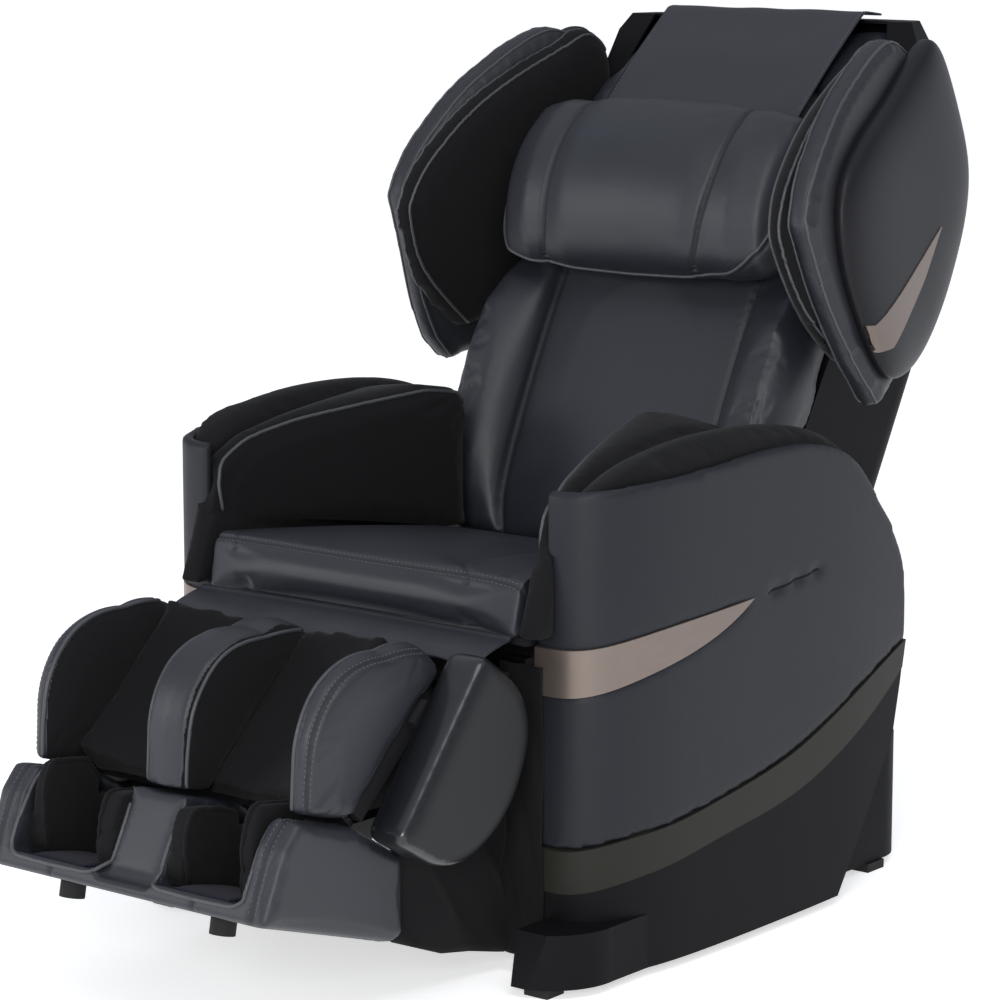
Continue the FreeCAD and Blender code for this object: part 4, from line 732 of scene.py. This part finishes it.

# %% [markdown]
# ## The arms
# Over each arm lies a black cloth top, and beside the sitter stands a cloth wedge with a piped edge. The outer faces
# are leather stretched over hard panels, so they keep the shape of their solids. The narrow slot in each panel is a
# black roll sunk into its skin, painted shade for the dark inside of the slot, because the even faces of a skin are too
# coarse to hold its edges.
# %% Arms
PAD_EDGE = [(266, 12, 530), (268, 8, 570), (268, 18, 602), (258, 60, 629), (236, 134, 647), (200, 240, 661), (172, 330, 670),
            (162, 385, 662), (168, 408, 640)]
SLOT_LINE = [(380, 324, 452), (380, 388, 459.5), (380, 453, 466.5)]
for side, word in SIDES:
    edge = line(from_arm(PAD_EDGE) * (side, 1, 1))
    cover("arm_top_" + word, 0.005, 0.0, 8, 0.003)
    pad = cover("arm_pad_" + word, 0.005, 0.001, 6, 0.004, [(edge, None)])
    places, outward = trace(pad, edge)
    piping("arm_pad_piping_" + word, "arm_pad_" + word, places, outward, 0.0026)
    panel = cover("side_panel_" + word, 0.005, 0.0, 6, 0.0, fine=False)
    places, outward = trace(panel, line(from_arm(SLOT_LINE) * (side, 1, 1)), (-side, 0, 0))
    # Painted shade: a black roll stands for the dark inside of the slot.
    piping("side_slot_" + word, "side_panel_" + word, places, outward, 0.0045, -0.0038, finish=finishes["shell_black"])

# %% [markdown]
# ## The wings
# Each wing is three leaves side by side: a cloth leaf by the head, a leather leaf, and a satin shell. The shell is
# one dome, so it is made of rings that shrink from its rim to its middle, and the bronze accent is laid on that dome. Below,
# the leaves of the real wing bend outwards and forwards.
# %% Wings
SHELL_OUTLINE = ((485, -146), (568, -118), (647, -64), (717, -21), (776, 19), (793, 43), (782, 78), (731, 155), (674, 215),
                 (600, 231), (514, 219), (444, 200), (375, 166), (321, 112), (309, 49), (393, -91))
LEAF_OUTLINE = ((269, 89), (328, -63), (418, -194), (474, -198), (528, -186), (599, -160), (655, -126), (709, -87), (743, -51),
                (752, -11), (740, 51))
INNER_OUTLINE = ((306, 46), (341, -114), (396, -199), (428, -207), (474, -202), (555, -171), (616, -134), (677, -86),
                 (729, -38), (764, -5), (756, 46))
SHELL_MIDDLE = (560, 50)
FLARE_START = 0.43
FLARE_REACH = 0.12


def relaxed(path, rounds, closed=False):
    """A path whose corners are rounded: each place moves to the middle between itself and its two neighbours."""
    for turn in range(rounds):
        middle = (np.roll(path, 1, 0) + 2 * path + np.roll(path, -1, 0)) / 4
        path = middle if closed else np.vstack([path[:1], middle[1:-1], path[-1:]])
    return path


def dome_surface(side):
    """Rings from the rim to the middle. At the share r of the way out, the dome stands 349 + 25 * sqrt(1 - r ** 5) mm from
    the middle of the chair, leaning in by 0.12 and flaring out by 0.1; two rings behind the rim close it."""
    rim = relaxed(line(np.array([(0, u, w) for u, w in SHELL_OUTLINE], float), 9.0, closed=True), 14, closed=True)[:, 1:]
    share = np.concatenate([[0.0, 0.5, 0.985, 0.998], np.sin(np.linspace(1, 0, 34) * np.pi / 2)[:-1], [0.0]])
    depth = np.concatenate([[338, 338, 338, 341], 349 + 25 * np.sqrt(1 - np.minimum(share[4:], 1) ** 5)])
    ring = np.array(SHELL_MIDDLE) + share[:, None, None] * (rim - SHELL_MIDDLE)[None]
    u, w = ring[..., 0], ring[..., 1]
    x = depth[:, None] - 0.12 * (u - 430) - 0.1 * w
    points = up_back(np.stack([side * x, u, w], 2).reshape(-1, 3))
    return points.reshape(*u.shape, 3)[:, ::side]


def leaf_line(outline, x, side):
    """An edge of a leaf at one depth x: planes lean in by 0.12 and flare out by 0.1."""
    u, w = np.array(outline, float).T
    lean = x - 0.12 * (u - 430) - 0.1 * w
    return relaxed(line(up_back(np.stack([side * lean, u, w], 1))), 60)


def flared(points, side):
    """Places lower than 430 mm up the backrest move by t ** 2 times 24 mm out, 30 mm forward and 7 mm up, where t is their
    depth below that over 120 mm."""
    up = (points[:, 1] + 0.256 - 0.436) * 0.4493 + (points[:, 2] - 0.45) * 0.8934
    t = np.clip((FLARE_START - up) / FLARE_REACH, 0, 1.2)[:, None]
    return points + t ** 2 * (side * 0.024, -0.03, 0.007)


def closed_up(piece):
    """Merges the points of each pole into one and turns all faces outward."""
    shell = bmesh.new()
    shell.from_mesh(piece.data)
    bmesh.ops.remove_doubles(shell, verts=shell.verts, dist=1e-6)
    bmesh.ops.recalc_face_normals(shell, faces=shell.faces)
    shell.to_mesh(piece.data)
    shell.free()


for side, word in SIDES:
    shell = show("wing_shell_cover_" + word, woven("wing_shell_" + word, dome_surface(side), capped=False))
    closed_up(shell)
    put_points(shell.data, flared(points_of(shell.data), side))
    ride_with(shell, "wing_shell_" + word)
    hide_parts("wing_shell_" + word)
    leaves = (("wing_pad_", LEAF_OUTLINE, 303, 334), ("wing_inner_", INNER_OUTLINE, 271, 298))
    for name, outline, inner_x, outer_x in leaves:
        leaf = cover(name + word, 0.004, -0.003, 22, 0.002, fine=False)
        put_points(leaf.data, flared(points_of(leaf.data), side))
        for depth, x in (("inner", inner_x), ("outer", outer_x)):
            places, outward = trace(leaf, flared(leaf_line(outline, x, side), side))
            piping(name + "piping_" + depth + "_" + word, name + word, places, outward, 0.0021, 0.0004)

# %% Accents on the domes
for side, word in SIDES:
    node = "wing_accent_" + word
    if node in nodes:
        accent = skin("wing_accent_cover_" + word, node, 0.0016, 0.0, 2)
        points = points_of(accent.data)
        outer = normals_of(accent.data)[:, 0] * side > 0
        flat = flared(points, side)
        dome = bpy.data.objects["wing_shell_cover_" + word]
        bpy.context.view_layer.update()
        tree = BVHTree.FromObject(dome, bpy.context.evaluated_depsgraph_get())
        for index, point in enumerate(flat):
            hit = tree.ray_cast(Vector((side * 0.6, point[1], point[2])), Vector((-side, 0, 0)))[0]
            if hit is not None:
                flat[index, 0] = hit[0] + side * (0.0014 if outer[index] else -0.002)
        put_points(accent.data, flat)
        ride_with(accent, node)
        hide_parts(node)

# %% [markdown]
# ## The leg rest
# The calves lie in cloth wells between three pads. Leather wraps the ridge of each pad and the outer side, and meets the
# cloth at a piped seam. One mesh can carry both: a second finish goes to the faces on the cloth side of the seam.
# %% Calf pads
WELL_SEAM = 204
WELL_HALF = 0.2035
SIDE_SEAM = 228
CALF_RIDGE = ((-178, 74), (-130, 120), (-80, 160), (-35, 172), (18, 161), (60, 131), (97, 95))


def ridge_line(x, inset):
    """The ridge of a calf pad at one x, lowered by the inset."""
    return line(down_leg([(x, s, n - inset) for s, n in CALF_RIDGE]))


def face_values(piece, kind):
    """The centre or outward direction of every face."""
    flat = np.empty(len(piece.data.polygons) * 3)
    piece.data.polygons.foreach_get(kind, flat)
    return flat.reshape(-1, 3)


def second_finish(piece, finish, chosen):
    """Gives the chosen faces a second finish."""
    piece.data.materials.append(finish)
    piece.data.polygons.foreach_set("material_index", chosen.astype(np.int32))


for side, word in SIDES:
    node = "calf_pad_" + word
    well_seam, side_seam = ridge_line(side * WELL_SEAM, 3), ridge_line(side * SIDE_SEAM, 9)
    pad = cover(node, 0.005, 0.0015, 6, 0.004, [(well_seam, None), (side_seam, None)])
    second_finish(pad, finishes["black_cloth"], np.abs(face_values(pad, "center")[:, 0]) < WELL_HALF)
    seam = trace(pad, side_seam)
    press(pad, [seam[0]], 0.003, 0.0025)
    double_row(node + "_stitches", node, pad, [seam])
    places, outward = trace(pad, well_seam)
    piping(node + "_piping", node, places, outward, 0.0028, 0.0004)

middle_seams = [ridge_line(side * 36.5, 11) for side in (1, -1)]
middle_pad = cover("calf_center_pad", 0.004, 0.0015, 6, 0.003, [(path, None) for path in middle_seams])
faces_out = face_values(middle_pad, "normal")
second_finish(middle_pad, finishes["black_cloth"], np.abs(faces_out[:, 0]) > 0.72)
for path, word in zip(middle_seams, ("left", "right")):
    places, outward = trace(middle_pad, path)
    piping("calf_center_piping_" + word, "calf_center_pad", places, outward, 0.0026, 0.0004)
cover("calf_lining", 0.005, 0.0, 6, 0.003, fine=False)

# %% [markdown]
# ## The boxes beside the calves
# Each box is a hard glossy moulding with a flat slanted front and large soft edges, on which the light runs in one broad
# band. Its skin is eased for many rounds, which rounds the edges by more than their fillet, and its side is satin.
# %% Calf boxes
box_side = moulded("box_side", rgb(0.007, 0.0075, 0.009), rgb(0.011, 0.0115, 0.013), 0.44, 1400.0, 0.00005, shine=0.28)
for side, word in SIDES:
    node = "calf_box_" + word
    housing = skin(node + "_cover", node, 0.0035, -0.0024, 80)
    ride_with(housing, node)
    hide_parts(node)
    second_finish(housing, box_side, face_values(housing, "normal")[:, 0] * side > 0.86)

# %% [markdown]
# ## The foot rest
# A leather shell holds two wells, lined with upright cloth pads and a padded sole. The rim of each well is piped, and a
# stitched seam follows the near side.
# %% Foot rest
RIM = ((192, -300, 252), (192, -342, 264), (192, -386, 275), (192, -412, 262), (190, -438, 224), (186, -456, 193),
       (176, -461, 184), (118, -462, 182), (60, -461, 184), (49, -456, 192), (45, -440, 214), (44, -424, 240), (44, -404, 262))
foot_shell = cover("foot_shell", 0.004, 0.0, 4, 0.0015, fine=False)
side_seams = [line(from_arm([(x, -300, 251), (x, -404, 279), (x, -430, 251), (x, -465, 170)])) for x in (211, -211)]
lip_seams = [line(from_arm([(x, -462, 181), (x, -466, 171), (x, -466, 166)])) for x in (118, -118)]
traced_seams = [trace(foot_shell, path) for path in side_seams]
press(foot_shell, [places for places, _ in traced_seams], 0.004, 0.003)
press(foot_shell, [trace(foot_shell, path)[0] for path in lip_seams], 0.003, 0.002)
double_row("foot_shell_stitches", "foot_shell", foot_shell, traced_seams, 0.0055)
lining = cover("foot_lining", 0.0035, 0.0, 4, 0.002, fine=False)
cover("sole_cloth", 0.0025, 0.0, 3, 0.0015, fine=False)
for side, word in SIDES:
    places, outward = trace(foot_shell, line(from_arm(RIM) * (side, 1, 1)))
    piping("foot_rim_piping_" + word, "foot_shell", places, outward, 0.0028, 0.0)
    outer_pad = line(from_arm([(side * 166, y, z) for y, z in ((-419, 182), (-422, 225), (-420, 262), (-408, 286), (-398, 289),
                                                              (-372, 287), (-348, 281), (-332, 266), (-327, 250))]))
    inner_pad = line(from_arm([(side * 70, y, z) for y, z in ((-419, 182), (-421, 220), (-417, 248), (-406, 264), (-392, 266),
                                                             (-356, 260), (-332, 250))]))
    for name, path in (("outer", outer_pad), ("inner", inner_pad)):
        places, outward = trace(lining, path)
        piping("foot_lining_piping_" + name + "_" + word, "foot_lining", places, outward, 0.0034, 0.0006,
               finish=finishes["black_cloth"])

# %% [markdown]
# ## The leg skirt
# Black cloth closes the space between the foot rest and the base. It is one sheet, a trough with two sides, and hangs in
# slanted folds where the rest pulls it. A grid carries the trough: one way runs back under the leg rest, the other down one
# side, across the floor of the trough and up the other side. It bends with the leg rest's hinge. A narrow curtain closes the
# gap between the trough and each arm.
# %% Skirt
SKIRT_FLOOR = ((-224, 92), (-176, 73), (-130, 55), (-76, 45), (-22, 31), (-5, 27))
SKIRT_TOP = ((-224, 206), (-190, 214), (-130, 258), (-72, 322), (-30, 330), (-5, 300))
SKIRT_HALF = 0.229
SKIRT_ROWS = 60
WALL_POINTS = 34
FLOOR_POINTS = 58


def skirt_surface():
    """Side walls at +-229 mm that fold in by up to 9 mm in slanted waves, joined by a floor that sags 3 mm."""
    y = np.linspace(-0.224, -0.005, SKIRT_ROWS)
    low = np.interp(y, *np.array(SKIRT_FLOOR).T / 1000)
    high = np.interp(y, *np.array(SKIRT_TOP).T / 1000)
    down = np.linspace(1, 0, WALL_POINTS)
    height = low[:, None] + (high - low)[:, None] * down[None]
    slant = y[:, None] * 62 + height * 38
    fold = 0.0045 * (np.sin(slant) + 0.55 * np.sin(1.9 * slant + 1.3 + 8 * height)) * np.minimum(1, 5 * down * (1.15 - down))
    wall = SKIRT_HALF - 0.0075 + fold
    left = np.stack([wall, np.repeat(y[:, None], WALL_POINTS, 1), height], 2)
    across = np.linspace(1, -1, FLOOR_POINTS + 2)[1:-1]
    floor_x = wall[:, -1:] * across
    sag = -0.003 * (1 - across ** 2) + 0.001 * np.sin(9 * across + 40 * y[:, None])
    base = np.stack([floor_x, np.repeat(y[:, None], FLOOR_POINTS, 1), low[:, None] + 0.004 + sag], 2)
    right = left[:, ::-1] * (-1, 1, 1)
    grid = np.concatenate([left, base, right], 1)
    return grid - (0, 0.256, 0)


skirt = thickened(show("leg_skirt_cover", cloth_sheet("leg_skirt", skirt_surface())), 0.0018)
dressed(skirt, "leg_skirt")
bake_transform(skirt, *swing_bodies, (0, -0.275, 0.2), (0, -0.46, 0.14))
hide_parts("leg_skirt")


def side_curtain(side):
    """The cloth between the skirt and an arm: a curtain from x = 213 to 281 mm whose slanted folds are 2 mm * sin."""
    x = np.linspace(0.213, 0.2815, 24)[None, :]
    z = np.linspace(0.027, 0.40, 80)[:, None]
    y = -0.2605 + 0.002 * np.sin(150 * x + 35 * z) + 0 * z
    return np.stack([side * (x + 0 * z), y, z + 0 * x], 2)


for side, word in SIDES:
    curtain = thickened(show("leg_skirt_curtain_" + word, cloth_sheet("curtain_" + word, side_curtain(side))), 0.0018)
    ride_with(curtain, "leg_skirt")


def area_of(grid):
    """The area of a grid of points, as the sum of its quads' half cross products."""
    a = grid[1:, 1:] - grid[:-1, :-1]
    b = grid[1:, :-1] - grid[:-1, 1:]
    return float(np.linalg.norm(np.cross(a, b), axis=2).sum() / 2)


skirt_area = area_of(skirt_surface())
print("skirt area", round(skirt_area, 3), "square metres")

# %% [markdown]
# ## Floor and light
# The chair stands on white studio paper. The air around is bright at the horizon, dim at half height, where the backrest is
# mirrored, and lighter again overhead. Three large soft lights stand right of the camera, in front and above, so that leather
# edges that face them carry a broad highlight.
# %% Floor and light
scene.view_settings.view_transform = "Standard"
floor_mesh = bpy.data.meshes.new("floor")
floor_mesh.from_pydata([(-30, -30, 0), (30, -30, 0), (30, 30, 0), (-30, 30, 0)], [], [(0, 1, 2, 3)])
floor = show("floor", floor_mesh)
paper = Finish("paper", roughness=0.95, emission_color=rgb(1, 1, 1), emission_strength=0.6, specular_ior_level=0.1)
floor_mesh.materials.append(paper.set(base_color=paper.blend(paper.cloud(3.0), rgb(0.80, 0.80, 0.80), rgb(0.82, 0.82, 0.82))))
world = bpy.data.worlds.new("studio")
scene.world = world
world.use_nodes = True
sky = world.node_tree.nodes
sky_links = world.node_tree.links
sky_place = sky.new("ShaderNodeTexCoord")
sky_axis = sky.new("ShaderNodeSeparateXYZ")
sky_fade = sky.new("ShaderNodeValToRGB")
SKY_STOPS = ((0.0, 0.72), (0.2, 0.70), (0.34, 0.28), (0.56, 0.20), (0.68, 0.66), (1.0, 0.62))
for spare in range(len(SKY_STOPS) - 2):
    sky_fade.color_ramp.elements.new(0.5)
for element, (position, shade) in zip(sky_fade.color_ramp.elements, SKY_STOPS):
    element.position = position
    element.color = (shade, shade, shade, 1)
sky_links.new(sky_place.outputs["Generated"], sky_axis.inputs[0])
sky_links.new(sky_axis.outputs["Z"], sky_fade.inputs["Fac"])
sky["Background"].inputs["Color"].default_value = rgb(0.98, 1.02, 1.12)
sky_links.new(sky_fade.outputs["Color"], sky["Background"].inputs["Strength"])


def soft_light(name, place, aim, size, power):
    """A square studio light that faces a point."""
    data = bpy.data.lights.new(name, "AREA")
    data.size = size
    data.energy = power
    lamp = bpy.data.objects.new(name, data)
    lamp.matrix_world = Matrix.Translation(place) @ (Vector(aim) - Vector(place)).to_track_quat("-Z", "Y").to_matrix().to_4x4()
    scene.collection.objects.link(lamp)


soft_light("key", (2.6, -4.4, 2.0), (0, 0, 0.6), 1.1, 90)
soft_light("overhead", (1.5, -1.1, 2.7), (0.2, -0.4, 0.5), 1.3, 20)
soft_light("front", (-2.9, -3.7, 1.7), (0, -0.2, 0.6), 1.4, 44)
print("lights and floor in place")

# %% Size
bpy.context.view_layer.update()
shown = [o for o in scene.objects if o.type == "MESH" and not o.hide_render]
print("triangles shown:", sum(sum(len(p.vertices) - 2 for p in o.data.polygons) for o in shown))
